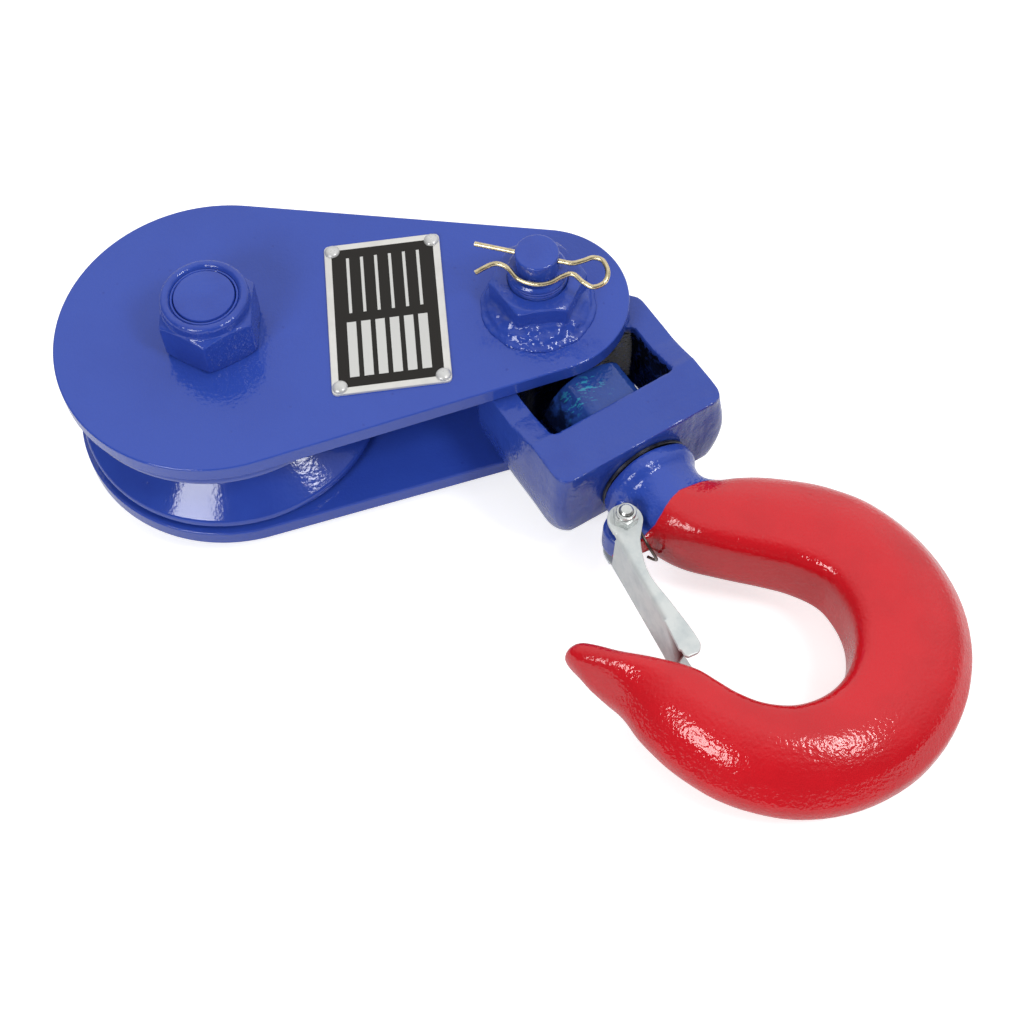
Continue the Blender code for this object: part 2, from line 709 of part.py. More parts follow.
def nameplate():
    half = (NAMEPLATE_WIDTH / 2, NAMEPLATE_LENGTH / 2)
    corners = [on_nameplate(x * half[0], y * half[1]) for x, y in ((-1, -1), (1, -1), (1, 1), (-1, 1))]
    loops = [rounded(corners, NAMEPLATE_CORNER, 3)]
    loops += [circle(spot, RIVET_SHANK_RADIUS + CLEAR, 12) for spot in rivet_places()]
    outline_solid("nameplate", loops, CLEAR, CLEAR + NAMEPLATE_THICKNESS, floor_frame,
                  ETCHED_ALUMINIUM)


def rivets():
    seat = NAMEPLATE_THICKNESS + 2 * CLEAR
    foot = seat - RIVET_SHANK_LENGTH
    crown = []
    for i in range(5):
        angle = math.radians(90 * (1 - i / 4))
        crown.append((RIVET_HEAD_RADIUS * math.cos(angle), seat + RIVET_HEAD_HEIGHT * math.sin(angle)))
    crown[0] = (0.0, seat + RIVET_HEAD_HEIGHT)
    profile = crown + [(RIVET_SHANK_RADIUS, seat), (RIVET_SHANK_RADIUS, foot), (0, foot)]
    for number, (x, y) in enumerate(rivet_places(), start=1):
        frame = empty(f"rivet_{number}_axis", floor_frame, (x, y, 0))
        turned(f"rivet_{number}", profile, 12, frame, ZINC)


nameplate()
rivets()


# Yoke: a billet with its window and side view cut, a hub, and the two bores

def yoke_outline(half, front, corner):
    """The plan at one height, from its half width, its front and its front corners' radius."""
    back = YOKE_TAPER_START
    end = -YOKE_HUB_RADIUS * 0.35
    hub = YOKE_HUB_RADIUS * 0.92
    corners = [(front, -half), (front, half), (back, half), (end, hub), (end, -hub), (back, -half)]
    return rounded(corners, (corner, corner, *4 * (YOKE_CORNER_RADIUS,)), 5)


def yoke_billet():
    """Sides that swell at mid height and well rounded corners and edges on the low side."""
    high = CROSSBAR_HEIGHT / 2
    half = YOKE_WIDTH / 2
    edge = YOKE_EDGE_WIDTH / 2
    low = YOKE_LOW_ROUND
    corner = YOKE_CORNER_RADIUS
    levels = [(-high - 0.0001, edge - low * 0.8, YOKE_FRONT - low * 0.9, corner + low * 0.4),
              (-high + low * 0.25, edge - low * 0.2, YOKE_FRONT - low * 0.4, corner + low * 0.7),
              (-high + low, edge + 0.0010, YOKE_FRONT - low * 0.1, corner + low * 0.6),
              (-high * 0.3, half, YOKE_FRONT, corner + low * 0.3), (high * 0.2, half, YOKE_FRONT, corner),
              (high + 0.0001, edge, YOKE_FRONT, corner)]
    rings = []
    for height, across, front, radius in levels:
        rings.append([(x, y, height) for x, y in yoke_outline(across, front, radius)])
    return loft("yoke", rings, yoke_axis, BLUE_PAINT)


def yoke_window():
    across = WINDOW_HALF_WIDTH
    near = YOKE_WINDOW_BACK
    hub = YOKE_HUB_RADIUS * 0.62
    return rounded([(CROSSBAR_BACK, -across), (CROSSBAR_BACK, across), (near + 0.008, across),
                    (near, hub), (near, -hub), (near + 0.008, -across)], 0.0020, 2)


def yoke_side():
    """The side view, with the shank's axis along x and the height along y."""
    high = CROSSBAR_HEIGHT / 2
    low = PLATE_GAP / 2 - YOKE_HUB_CLEARANCE - YOKE_HUB_BOSS
    arm = high - YOKE_STEP
    front = YOKE_FRONT + YOKE_FRONT_DRAFT
    upper = [(front, high), (CROSSBAR_BACK - 0.0005, high), (CROSSBAR_BACK - 0.0030, arm),
             (YOKE_SLOPE_START, low), (-YOKE_HUB_RADIUS * 2, low)]
    lower = [(x, -y) for x, y in reversed(upper[1:])]
    round_low = YOKE_LOW_ROUND
    nose = [(YOKE_FRONT - round_low, -high), (YOKE_FRONT - round_low * 0.5, -high + round_low * 0.35),
            (YOKE_FRONT - round_low * 0.16, -high + round_low)]
    return upper + lower + nose + [(front, 0.0)]


def yoke():
    high = CROSSBAR_HEIGHT / 2
    body = yoke_billet()
    side = outline_solid("yoke_side", [yoke_side()], -YOKE_WIDTH, YOKE_WIDTH, yoke_axis)
    side.rotation_euler = (math.radians(90), 0, 0)
    combine(body, side, "INTERSECT")
    round_edges(body, YOKE_EDGE_ROUND)
    window = outline_solid("yoke_window", [yoke_window()], -high - 0.001, high + 0.001, yoke_axis)
    combine(body, window, "DIFFERENCE")
    low = PLATE_GAP / 2 - YOKE_HUB_CLEARANCE
    hub = cylinder("yoke_hub", YOKE_HUB_RADIUS, -low, low, ROUND, yoke_axis)
    combine(body, hub, "UNION")
    bolt_bore = cylinder("bolt_bore", YOKE_BOLT_RADIUS + CLEAR, -high, high, ROUND, yoke_axis)
    combine(body, bolt_bore, "DIFFERENCE")
    shank_bore = cylinder("shank_bore", SHANK_RADIUS + SHANK_HOLE_CLEARANCE, CROSSBAR_BACK - 0.004,
                          YOKE_FRONT + 0.004, ROUND, yoke_axis, turn=ALONG_SHANK)
    smooth(combine(body, shank_bore, "DIFFERENCE"), 30)


yoke()


# Hook: a turned shank and collar that grow into a forged bowl

def hook_section(inner, outer, half, edge_in, edge_out, crown_in, crown_out):
    """One forged section from the inner to the outer line, with its corners cut twice."""
    middle = (inner + outer) / 2
    out = (outer - inner) / 2
    up = Vector((0, 0, half))
    corners = [-out - up * edge_in, -out + up * edge_in, -out * crown_in + up, out * crown_out + up,
               out + up * edge_out, out - up * edge_out, out * crown_out - up, -out * crown_in - up]
    for _ in range(2):
        cut = []
        for i in range(len(corners)):
            here = corners[i]
            there = corners[(i + 1) % len(corners)]
            cut += [here * 0.75 + there * 0.25, here * 0.25 + there * 0.75]
        corners = cut
    return [middle + corner for corner in corners]


# Corners of a regular octagon, which the cutting makes a circle
ROUND_SECTION = (0.4142, 0.4142, 0.4142, 0.4142)
FORGED_SECTION = (0.64, 0.30, 0.74, 0.22)


def bowl_station(angle_deg, inner, outer, half=HOOK_HALF_THICKNESS):
    angle = math.radians(angle_deg)
    x = BOWL_CENTRE
    return (x + inner * math.cos(angle), inner * math.sin(angle),
            x + outer * math.cos(angle), outer * math.sin(angle), half, *FORGED_SECTION)


def hook_stations():
    """Inner point, outer point, half thickness and section of the hook, from neck to tip."""
    neck = NECK_RADIUS
    half = HOOK_HALF_THICKNESS
    back = [(NECK_AT, -neck, NECK_AT, neck, neck, *ROUND_SECTION),
            (0.0905, -0.0150, 0.0860, 0.0172, 0.0156, 0.48, 0.36, 0.50, 0.36),
            (0.0985, -0.0118, 0.0880, 0.0216, half, 0.56, 0.32, 0.62, 0.28),
            (0.1065, -0.0058, 0.0907, 0.0278, half, *FORGED_SECTION),
            (0.1160, 0.0030, 0.0948, 0.0356, half, *FORGED_SECTION),
            (0.1260, 0.0130, 0.1008, 0.0435, half, *FORGED_SECTION),
            (0.1340, 0.0200, 0.1099, 0.0529, half, *FORGED_SECTION),
            (0.1430, 0.0250, 0.1236, 0.0620, half, *FORGED_SECTION)]
    bowl = [bowl_station(angle, inner, outer) for angle, inner, outer in (
        (98, 0.0257, 0.0682), (78, 0.0240, 0.0667), (57, 0.0228, 0.0647), (35, 0.0222, 0.0626),
        (13, 0.0224, 0.0610), (-9, 0.0228, 0.0595), (-31, 0.0237, 0.0586), (-53, 0.0248, 0.0576),
        (-72, 0.0262, 0.0573), (-88, 0.0284, 0.0582))]
    point = [(0.1500, -0.0310, 0.1455, -0.0588, 0.0152, *FORGED_SECTION),
             (0.1432, -0.0360, 0.1368, -0.0602, 0.0138, *FORGED_SECTION),
             (0.1362, -0.0415, 0.1297, -0.0622, 0.0120, 0.58, 0.34, 0.66, 0.26),
             (0.1292, -0.0475, 0.1248, -0.0636, 0.0098, 0.52, 0.38, 0.56, 0.34),
             (0.1228, -0.0518, 0.1206, -0.0645, 0.0080, *ROUND_SECTION),
             (0.1190, -0.0552, 0.1178, -0.0642, 0.0060, *ROUND_SECTION),
             (0.1168, -0.0574, 0.1162, -0.0618, 0.0028, *ROUND_SECTION)]
    return back, bowl, point


def shank_rings():
    """Round sections up the shank and the collar to the neck."""
    swell = COLLAR_AT + COLLAR_HEIGHT
    steps = [(SHANK_END, SHANK_RADIUS - 0.0010), (SHANK_END + 0.0010, SHANK_RADIUS),
             (COLLAR_AT, SHANK_RADIUS), (COLLAR_AT, COLLAR_RADIUS - 0.0006),
             (COLLAR_AT + 0.0006, COLLAR_RADIUS), (swell, COLLAR_RADIUS),
             (swell + 0.0014, COLLAR_RADIUS - 0.0009), (swell + 0.0032, NECK_RADIUS + 0.0007)]
    rings = []
    for along, radius in steps:
        inner = Vector((along, -radius, 0))
        outer = Vector((along, radius, 0))
        rings.append(hook_section(inner, outer, radius, *ROUND_SECTION))
    return rings


def hook():
    rings = shank_rings()
    back, bowl, point = hook_stations()
    for values in smooth_path(back, 1)[:-1] + smooth_path([back[-1], *bowl, point[0]], 2) + point[1:]:
        inner = Vector((values[0], values[1], 0))
        outer = Vector((values[2], values[3], 0))
        rings.append(hook_section(inner, outer, *values[4:]))
    body = loft("hook", rings, hook_axis, RED_PAINT)
    pivot = (LATCH_PIVOT_ALONG, LATCH_PIVOT_ACROSS)
    neck = NECK_RADIUS - 0.004
    outline = (arc(pivot, LUG_RADIUS, -160, 0, 14)
               + [(LATCH_PIVOT_ALONG + LUG_RADIUS + 0.001, -neck), (COLLAR_AT + 0.0036, -neck)])
    lug = outline_solid("lug", [outline], -LUG_HALF_THICKNESS, LUG_HALF_THICKNESS, hook_axis)
    round_edges(lug, 0.0010)
    combine(body, lug, "UNION")
    hole = cylinder("latch_hole", LATCH_BOLT_RADIUS + CLEAR, -LUG_HALF_THICKNESS - 0.002,
                    LUG_HALF_THICKNESS + 0.002, SMALL, hook_axis,
                    turn=Matrix.Translation((*pivot, 0)))
    smooth(combine(body, hole, "DIFFERENCE"), 38)


def hook_nut():
    frame = empty("hook_nut_axis", hook_axis, (0, 0, 0), (0, math.radians(90), 0))
    nut = hexagon("hook_nut", HOOK_NUT_ACROSS_FLATS, HOOK_NUT_SEAT - HOOK_NUT_HEIGHT,
                  HOOK_NUT_SEAT, HOOK_NUT_CORNER_DEG, frame, BLUE_PAINT, "both",
                  PLATE_GAP / 2 - HOOK_NUT_CLEARANCE)
    bore = cylinder("hook_nut_bore", SHANK_RADIUS + CLEAR, 0.0, CROSSBAR_BACK + 0.001, ROUND, frame)
    smooth(combine(nut, bore, "DIFFERENCE"))
    washer_bore = SHANK_RADIUS + CLEAR
    ring("hook_thrust_washer", washer_bore, COLLAR_RADIUS - 0.0006, YOKE_FRONT + CLEAR,
         COLLAR_AT - CLEAR, ROUND, frame, DARK_STEEL)


hook()
hook_nut()


# Latch: a folded sheet with two ears, and a web that is slit free and bent out at its tip

def latch():
    web = -LATCH_EAR_RADIUS
    inner = [(0.0093, 0.0011), (0.0166, -0.0014), (0.0245, -0.0024), (0.0369, -0.0007),
             (LATCH_LENGTH - 0.0052, 0.0008), (LATCH_LENGTH - 0.0013, -0.0001),
             (LATCH_LENGTH, -0.0018)]
    ear = arc((0, 0), LATCH_EAR_RADIUS, 270, 60, 16)
    flange = ear + smooth_path(inner, 3) + [(LATCH_LENGTH, web)]
    eye = circle((0, 0), LATCH_BOLT_RADIUS + CLEAR, SMALL)
    top = LATCH_HALF_HEIGHT
    bend = LATCH_SLIT_AT
    strip = [(LATCH_WEB_START, web), (bend, web), (LATCH_TIP_ALONG, web - LATCH_TIP_BEND),
             (LATCH_TIP_ALONG + 0.0005, web - LATCH_TIP_BEND + LATCH_SHEET),
             (bend + 0.0003, web + LATCH_SHEET), (LATCH_WEB_START + 0.0010, web + LATCH_SHEET)]
    body = outline_solid("latch", [strip], -top, top, latch_axis, ZINC)
    for bottom in (top - LATCH_SHEET, -top):
        ears = outline_solid("latch_ear", [flange, eye], bottom, bottom + LATCH_SHEET, latch_axis)
        combine(body, ears, "UNION")
    smooth(body, 30)


def latch_bolt():
    top = LATCH_HALF_HEIGHT + CLEAR
    end = top + LATCH_NUT_HEIGHT + LATCH_BOLT_PAST_NUT
    head = hexagon("latch_bolt", LATCH_BOLT_ACROSS_FLATS, -top - LATCH_BOLT_HEAD_HEIGHT, -top,
                   10.0, latch_pin_frame, ZINC, "bottom")
    foot = -top - LATCH_BOLT_HEAD_HEIGHT / 2
    radius = LATCH_BOLT_RADIUS
    profile = [(0, end), (radius - 0.0004, end), (radius, end - 0.0004), (radius, foot), (0, foot)]
    smooth(combine(head, turned("latch_shank", profile, SMALL, latch_pin_frame), "UNION"))
    nut = hexagon("latch_nut", LATCH_BOLT_ACROSS_FLATS, top, top + LATCH_NUT_HEIGHT * 0.72, 95.0,
                  latch_pin_frame, ZINC, "both")
    collar = LATCH_BOLT_ACROSS_FLATS / 2 - 0.0004
    crown = top + LATCH_NUT_HEIGHT
    profile = [(0, crown), (collar - 0.0005, crown), (collar, crown - 0.0006),
               (collar, top + LATCH_NUT_HEIGHT / 2), (0, top + LATCH_NUT_HEIGHT / 2)]
    combine(nut, turned("latch_nut_collar", profile, SMALL, latch_pin_frame), "UNION")
    bore = cylinder("latch_nut_bore", radius + CLEAR, top - 0.001, crown + 0.001, SMALL,
                    latch_pin_frame)
    smooth(combine(nut, bore, "DIFFERENCE"))


def latch_spring():
    """A coil on the latch bolt, above the lug, with its leg hooked on the hook's inner wall."""
    low = LUG_HALF_THICKNESS + CLEAR + SPRING_WIRE_RADIUS
    count = round(SPRING_TURNS * 12)
    coil = []
    for i in range(count + 1):
        turns = SPRING_TURNS * i / count
        angle = 2 * math.pi * turns + math.radians(-62)
        coil.append((SPRING_COIL_RADIUS * math.cos(angle), SPRING_COIL_RADIUS * math.sin(angle),
                     low + SPRING_PITCH * turns))
    leg = [(0.0123, 0.0022, 0.0014), (0.0119, 0.0032, 0.0022), (0.0105, 0.0025, 0.0042),
           (0.0075, -0.0005, 0.0060)]
    wire("latch_spring", smooth_path(leg, 2) + coil, SPRING_WIRE_RADIUS, latch_pin_frame,
         BRIGHT_STEEL)


latch_pin_frame = empty("latch_pin_axis", hook_axis, (LATCH_PIVOT_ALONG, LATCH_PIVOT_ACROSS, 0))
latch()
latch_bolt()
latch_spring()


# Lying down: the block tips on its two heads until the hook meets the floor

def world_points(pieces):
    bpy.context.view_layer.update()
    graph = bpy.context.evaluated_depsgraph_get()
    points = []
    for piece in pieces:
        solid = piece.evaluated_get(graph)
        mesh = solid.to_mesh()
        points += [solid.matrix_world @ vertex.co for vertex in mesh.vertices]
        solid.to_mesh_clear()
    return points


def lie_down():
    edge_y = -HEAD_ACROSS_FLATS / 2
    edge_z = HEAD_FACE_Z
    hanging = [block.objects[name] for name in ("hook", "yoke", "latch", "latch_bolt")]
    tilt = min(math.atan2(point.z - edge_z, edge_y - point.y)
               for point in world_points(hanging) if point.y < edge_y - 0.02)
    floor_frame.rotation_euler = (tilt, 0, 0)
    everything = world_points([piece for piece in block.objects if piece.type != "EMPTY"])
    low = Vector([min(point[i] for point in everything) for i in range(3)])
    high = Vector([max(point[i] for point in everything) for i in range(3)])
    floor_frame.location = (-(low.x + high.x) / 2, -(low.y + high.y) / 2, -low.z)
    bpy.context.view_layer.update()


lie_down()
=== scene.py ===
import json
import math

import bmesh
import bpy
from mathutils import Matrix, Vector, noise


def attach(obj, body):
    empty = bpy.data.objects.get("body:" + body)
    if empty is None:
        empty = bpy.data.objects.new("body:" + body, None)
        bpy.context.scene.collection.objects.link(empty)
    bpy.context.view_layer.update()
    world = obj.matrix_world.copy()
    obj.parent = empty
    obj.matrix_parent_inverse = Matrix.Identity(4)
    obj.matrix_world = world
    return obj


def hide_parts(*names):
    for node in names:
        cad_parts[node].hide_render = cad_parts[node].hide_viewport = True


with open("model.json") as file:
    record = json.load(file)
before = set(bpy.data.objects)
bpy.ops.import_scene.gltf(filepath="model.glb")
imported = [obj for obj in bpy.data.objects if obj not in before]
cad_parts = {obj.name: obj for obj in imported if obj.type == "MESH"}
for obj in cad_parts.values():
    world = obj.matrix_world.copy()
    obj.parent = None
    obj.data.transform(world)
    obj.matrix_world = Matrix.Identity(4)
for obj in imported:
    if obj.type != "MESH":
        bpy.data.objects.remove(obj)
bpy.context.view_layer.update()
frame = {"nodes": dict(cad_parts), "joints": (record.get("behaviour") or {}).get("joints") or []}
print("frame loaded")

scene = bpy.context.scene
scene.view_settings.view_transform = "Standard"
cadNodes = frame["nodes"]
joints = {joint["name"]: joint for joint in frame["joints"]}


# Spaces of the moving bodies, in which pieces are drawn in millimetres

def spaceFrom(origin, xAxis, zAxis):
    z = Vector(zAxis).normalized()
    x = Vector(xAxis)
    x = (x - z * x.dot(z)).normalized()
    space = Matrix((x, z.cross(x), z)).transposed().to_4x4()
    space.translation = origin
    return space @ Matrix.Scale(0.001, 4)


midDepth = 26.2  # from the front plate's face to the sheave's middle
boltSpacing = 118.3
sheavePos = Vector(joints["sheave_spin"]["pos_m"])
yokePos = Vector(joints["yoke_swing"]["pos_m"])
upAxis = Vector(joints["sheave_spin"]["axis"])
shankAxis = Vector(joints["hook_swivel"]["axis"])
latchPos = Vector(joints["latch_hinge"]["pos_m"])
latchAxis = Vector(joints["latch_hinge"]["axis"])
blockSpace = spaceFrom(sheavePos + upAxis * midDepth * 0.001, yokePos - sheavePos, upAxis)
sheaveSpace = blockSpace @ Matrix.Translation((0, 0, -midDepth))
yokeSpace = spaceFrom(yokePos, shankAxis, upAxis)
hookSpace = spaceFrom(yokePos, shankAxis, latchAxis)
shankSpace = hookSpace @ Matrix.Rotation(math.radians(90), 4, "Y")
pinSpace = spaceFrom(latchPos, shankAxis, latchAxis)
latchSpace = pinSpace @ Matrix.Rotation(math.radians(-6.3), 4, "Z")
boltSpace = blockSpace @ Matrix.Translation((boltSpacing, 0, 0))


# Small tools for node trees

def addNode(tree, kind, inputs=None, **settings):
    made = tree.nodes.new(kind)
    for key, value in settings.items():
        setattr(made, key, value)
    for key, value in (inputs or {}).items():
        if isinstance(value, bpy.types.NodeSocket):
            tree.links.new(value, made.inputs[key])
        else:
            made.inputs[key].default_value = value
    return made


def newFinish(name):
    made = bpy.data.materials.new(name)
    made.use_nodes = True
    tree = made.node_tree
    where = addNode(tree, "ShaderNodeTexCoord").outputs["Object"]
    return made, tree, tree.nodes["Principled BSDF"], where


def noiseAt(tree, where, scale, detail=2.0, rough=0.5):
    made = addNode(tree, "ShaderNodeTexNoise", {"Vector": where, "Scale": scale, "Detail": detail,
                                                "Roughness": rough})
    return made.outputs["Fac"]


def remap(tree, value, low, high, start, end):
    return addNode(tree, "ShaderNodeMapRange", {
        "Value": value, "From Min": low, "From Max": high, "To Min": start, "To Max": end}).outputs["Result"]


def calc(tree, operation, a, b=0.0):
    return addNode(tree, "ShaderNodeMath", {0: a, 1: b}, operation=operation).outputs[0]


def mixColour(tree, amount, a, b):
    made = addNode(tree, "ShaderNodeMix", {"Factor": amount}, data_type="RGBA")
    for socket, value in ((made.inputs[6], a), (made.inputs[7], b)):
        if isinstance(value, bpy.types.NodeSocket):
            tree.links.new(value, socket)
        else:
            socket.default_value = (*value, 1.0)
    return made.outputs[2]


def bump(tree, height, distance, below=None):
    inputs = {"Height": height, "Distance": distance, "Strength": 1.0}
    if below is not None:
        inputs["Normal"] = below
    return addNode(tree, "ShaderNodeBump", inputs).outputs["Normal"]


def shade(tree, shader, **sockets):
    for key, value in sockets.items():
        socket = shader.inputs[key.replace("_", " ").title().replace("Ior", "IOR")]
        if isinstance(value, bpy.types.NodeSocket):
            tree.links.new(value, socket)
        elif isinstance(value, tuple):
            socket.default_value = (*value, 1.0)
        else:
            socket.default_value = value


# Enamel: sprayed thick over a forging, so it has orange peel, slow waves, pits and specks; sizes are noise scales

enamel = {
    "blue": (0.030, 0.074, 0.42),
    "blueDeep": (0.018, 0.040, 0.29),
    "red": (0.62, 0.010, 0.018),
    "redDeep": (0.46, 0.006, 0.012),
    "peelSize": 760.0,
    "peelDepth": 0.00014,
    "waveSize": 75.0,
    "waveDepth": 0.00040,
    "pitSize": 210.0,
    "pitPatches": 60.0,
    "pitDepth": 0.00012,
    "edgeDepth": 0.00012,
    "cloudSize": 28.0,
    "glossSize": 55.0,
    "gloss": (0.09, 0.20),
}


def enamelSurface(tree, shader, where, colour, deep, waves=1.0, extra=None, peels=1.0, clouds=0.45, gloss=None):
    # waves, peels and clouds scale the relief and the mottling; extra is one more height, such as a paint edge
    peel = noiseAt(tree, where, enamel["peelSize"], 1.0)
    wave = noiseAt(tree, where, enamel["waveSize"], 3.0, 0.55)
    cells = addNode(tree, "ShaderNodeTexVoronoi", {"Vector": where, "Scale": enamel["pitSize"]}).outputs["Distance"]
    sparse = remap(tree, noiseAt(tree, where, enamel["pitPatches"]), 0.56, 0.60, 0.0, 1.0)
    pits = calc(tree, "MULTIPLY", remap(tree, cells, 0.0, 0.16, 1.0, 0.0), sparse)
    normal = bump(tree, wave, enamel["waveDepth"] * waves)
    normal = bump(tree, peel, enamel["peelDepth"] * peels, normal)
    normal = bump(tree, calc(tree, "MULTIPLY", pits, -1.0), enamel["pitDepth"], normal)
    if extra is not None:
        normal = bump(tree, extra, enamel["edgeDepth"], normal)
    cloud = noiseAt(tree, where, enamel["cloudSize"], 4.0, 0.6)
    tone = mixColour(tree, remap(tree, cloud, 0.42, 0.62, 0.0, clouds), colour, deep)
    tone = mixColour(tree, calc(tree, "MULTIPLY", pits, 0.6), tone, deep)
    rough = remap(tree, noiseAt(tree, where, enamel["glossSize"], 3.0), 0.35, 0.65, *(gloss or enamel["gloss"]))
    shade(tree, shader, base_color=tone, roughness=rough, normal=normal, ior=1.5)


def blueEnamel(name, waves=1.0, peels=1.0, clouds=0.45, gloss=None):
    made, tree, shader, where = newFinish(name)
    enamelSurface(tree, shader, where, enamel["blue"], enamel["blueDeep"], waves, None, peels, clouds, gloss)
    return made


def measured(tree, where, space, axis):
    # Millimetres along one axis of a space, from the object's own coordinates
    offset = addNode(tree, "ShaderNodeVectorMath", {0: where, 1: tuple(space.translation)}, operation="SUBTRACT")
    step = space.to_3x3().col[axis].normalized() * 1000
    return addNode(tree, "ShaderNodeVectorMath", {0: offset.outputs[0], 1: tuple(step)},
                   operation="DOT_PRODUCT").outputs["Value"]


def between(tree, value, low, high, soft):
    rise = remap(tree, value, low - soft, low + soft, 0.0, 1.0)
    return calc(tree, "MULTIPLY", rise, remap(tree, value, high - soft, high + soft, 1.0, 0.0))


# Millimetres in the yoke's space, noise scales and linear colours
# The two darkest colours here are painted shade, for deep inside the window
windowPaint = {"colour": (0.028, 0.067, 0.37), "bare": (0.004, 0.005, 0.010), "bareDeep": (0.002, 0.003, 0.006),
               "along": (20.0, 50.6), "across": 25.8, "soft": 0.4, "fleckSize": 420.0,
               "runSize": 130.0, "runAlong": (62.0, 67.0), "runHeight": 8.0, "runStretch": 0.28}


def yokeEnamel():
    # Painted shade darkens the inside of the window with depth, nearly to black, ragged at its rim; the paint ran on
    # the front of the crossbar
    p = windowPaint
    made, tree, shader, where = newFinish("yokeEnamel")
    along, across, up = (measured(tree, where, yokeSpace, axis) for axis in range(3))
    inside = calc(tree, "MULTIPLY", between(tree, along, *p["along"], p["soft"]),
                  between(tree, across, -p["across"], p["across"], p["soft"]))
    depth = calc(tree, "SUBTRACT", remap(tree, along, 36.0, 47.0, 18.0, 21.0), up)
    inside = calc(tree, "MULTIPLY", inside, remap(tree, depth, 0.6, 4.0, 0.0, 1.0))
    fleck = remap(tree, noiseAt(tree, where, p["fleckSize"], 3.0), 0.40, 0.60, -0.35, 0.35)
    # Painted shade inside the window, ragged at its rim by noise
    bare = remap(tree, calc(tree, "ADD", inside, fleck), 0.25, 0.75, 0.0, 1.0)
    bare = calc(tree, "MULTIPLY", bare, remap(tree, inside, 0.0, 0.3, 0.0, 1.0))
    colour = mixColour(tree, bare, p["colour"], p["bare"])
    deep = mixColour(tree, bare, enamel["blueDeep"], p["bareDeep"])
    long = addNode(tree, "ShaderNodeMapping", {"Vector": where, "Scale": (1.0, 1.0, p["runStretch"])}).outputs[0]
    runs = calc(tree, "MULTIPLY", noiseAt(tree, long, p["runSize"], 2.0, 0.5),
                remap(tree, along, *p["runAlong"], 0.0, p["runHeight"]))
    enamelSurface(tree, shader, where, colour, deep, 1.6, runs, 0.8)
    return made


# A painted shadow on the lock nut: where it sits, its size and its colour
footShadow = {"at": (16.9, -0.5, 1.6), "radii": (0.0011, 0.0014), "bare": (0.003, 0.003, 0.006)}


def lockNutEnamel():
    # Painted shadow: a small dark spot at the foot of one side, where a gap lies in shade
    made, tree, shader, where = newFinish("lockNutEnamel")
    gap = tuple(blockSpace @ Vector(footShadow["at"]))
    away = addNode(tree, "ShaderNodeVectorMath", {0: where, 1: gap}, operation="DISTANCE").outputs["Value"]
    bare = remap(tree, away, *footShadow["radii"], 1.0, 0.0)
    colour = mixColour(tree, bare, enamel["blue"], footShadow["bare"])
    deep = mixColour(tree, bare, enamel["blueDeep"], footShadow["bare"])
    enamelSurface(tree, shader, where, colour, deep, 0.8, None, 1.2)
    return made


# low and lowDeep are painted shade, for the nut below the heights in lowFrom
nutShadeAndScratches = {"colour": (0.020, 0.062, 0.30), "deep": (0.012, 0.035, 0.16), "low": (0.006, 0.012, 0.05),
             "lowDeep": (0.004, 0.007, 0.02), "undercoat": (0.035, 0.36, 0.52), "size": 300.0,
             "lowFrom": (13.5, 7.0), "ragged": 3.0, "across": (-12.0, 3.0), "along": (33.0, 43.0), "squeeze": 2.6}


def nutEnamel():
    # Painted shade darkens the hook nut below its top; the nut is scratched to a turquoise undercoat
    p = nutShadeAndScratches
    made, tree, shader, where = newFinish("nutEnamel")
    along, across, up = (measured(tree, where, yokeSpace, axis) for axis in range(3))
    ragged = remap(tree, noiseAt(tree, where, p["size"], 3.0), 0.4, 0.6, -p["ragged"], p["ragged"])
    # Painted shade below the nut's top, with a ragged edge
    low = remap(tree, calc(tree, "ADD", up, ragged), *p["lowFrom"], 0.0, 1.0)
    colour = mixColour(tree, low, p["colour"], p["low"])
    deep = mixColour(tree, low, p["deep"], p["lowDeep"])
    worn = calc(tree, "MULTIPLY", between(tree, across, *p["across"], 2.5), between(tree, along, *p["along"], 1.5))
    thin = addNode(tree, "ShaderNodeMapping", {"Vector": where, "Scale": (1.0, p["squeeze"], 1.0)}).outputs[0]
    marks = remap(tree, noiseAt(tree, thin, p["size"], 3.0, 0.65), 0.57, 0.60, 0.0, 0.85)
    marks = calc(tree, "MULTIPLY", marks, calc(tree, "MULTIPLY", worn, remap(tree, up, 8.0, 11.0, 0.0, 1.0)))
    colour = mixColour(tree, marks, colour, p["undercoat"])
    enamelSurface(tree, shader, where, colour, deep, 1.0, None, 1.6)
    return made


# Where the red begins along the shank: at its middle and at the throat, lower on the far side
dip = {"edge": (89.8, 97.5), "throat": -21.0, "farEdge": -6.5, "raggedSize": 70.0, "ragged": 0.7, "soft": 0.2}


def hookEnamel():
    # The forging is blue to the neck and dipped red beyond it
    made, tree, shader, where = newFinish("hookEnamel")
    along, across, up = (measured(tree, where, hookSpace, axis) for axis in range(3))
    start = remap(tree, across, 0.0, dip["throat"], *dip["edge"])
    ragged = remap(tree, noiseAt(tree, where, dip["raggedSize"], 2.0), 0.3, 0.7, -dip["ragged"], dip["ragged"])
    low = remap(tree, up, 9.0, -3.0, 0.0, dip["farEdge"])
    line = calc(tree, "ADD", calc(tree, "ADD", start, low), ragged)
    red = remap(tree, calc(tree, "SUBTRACT", along, line), -dip["soft"], dip["soft"], 0.0, 1.0)
    colour = mixColour(tree, red, enamel["blue"], enamel["red"])
    deep = mixColour(tree, red, enamel["blueDeep"], enamel["redDeep"])
    enamelSurface(tree, shader, where, colour, deep, 0.45, red, 1.25)
    return made


# Painted shade and a painted reflection of the red hook, beside the latch's slit
slit = {"from": 41.5, "to": 55.0, "top": 9.6, "spread": 9.0, "soft": 3.0, "colour": (0.13, 0.045, 0.045)}


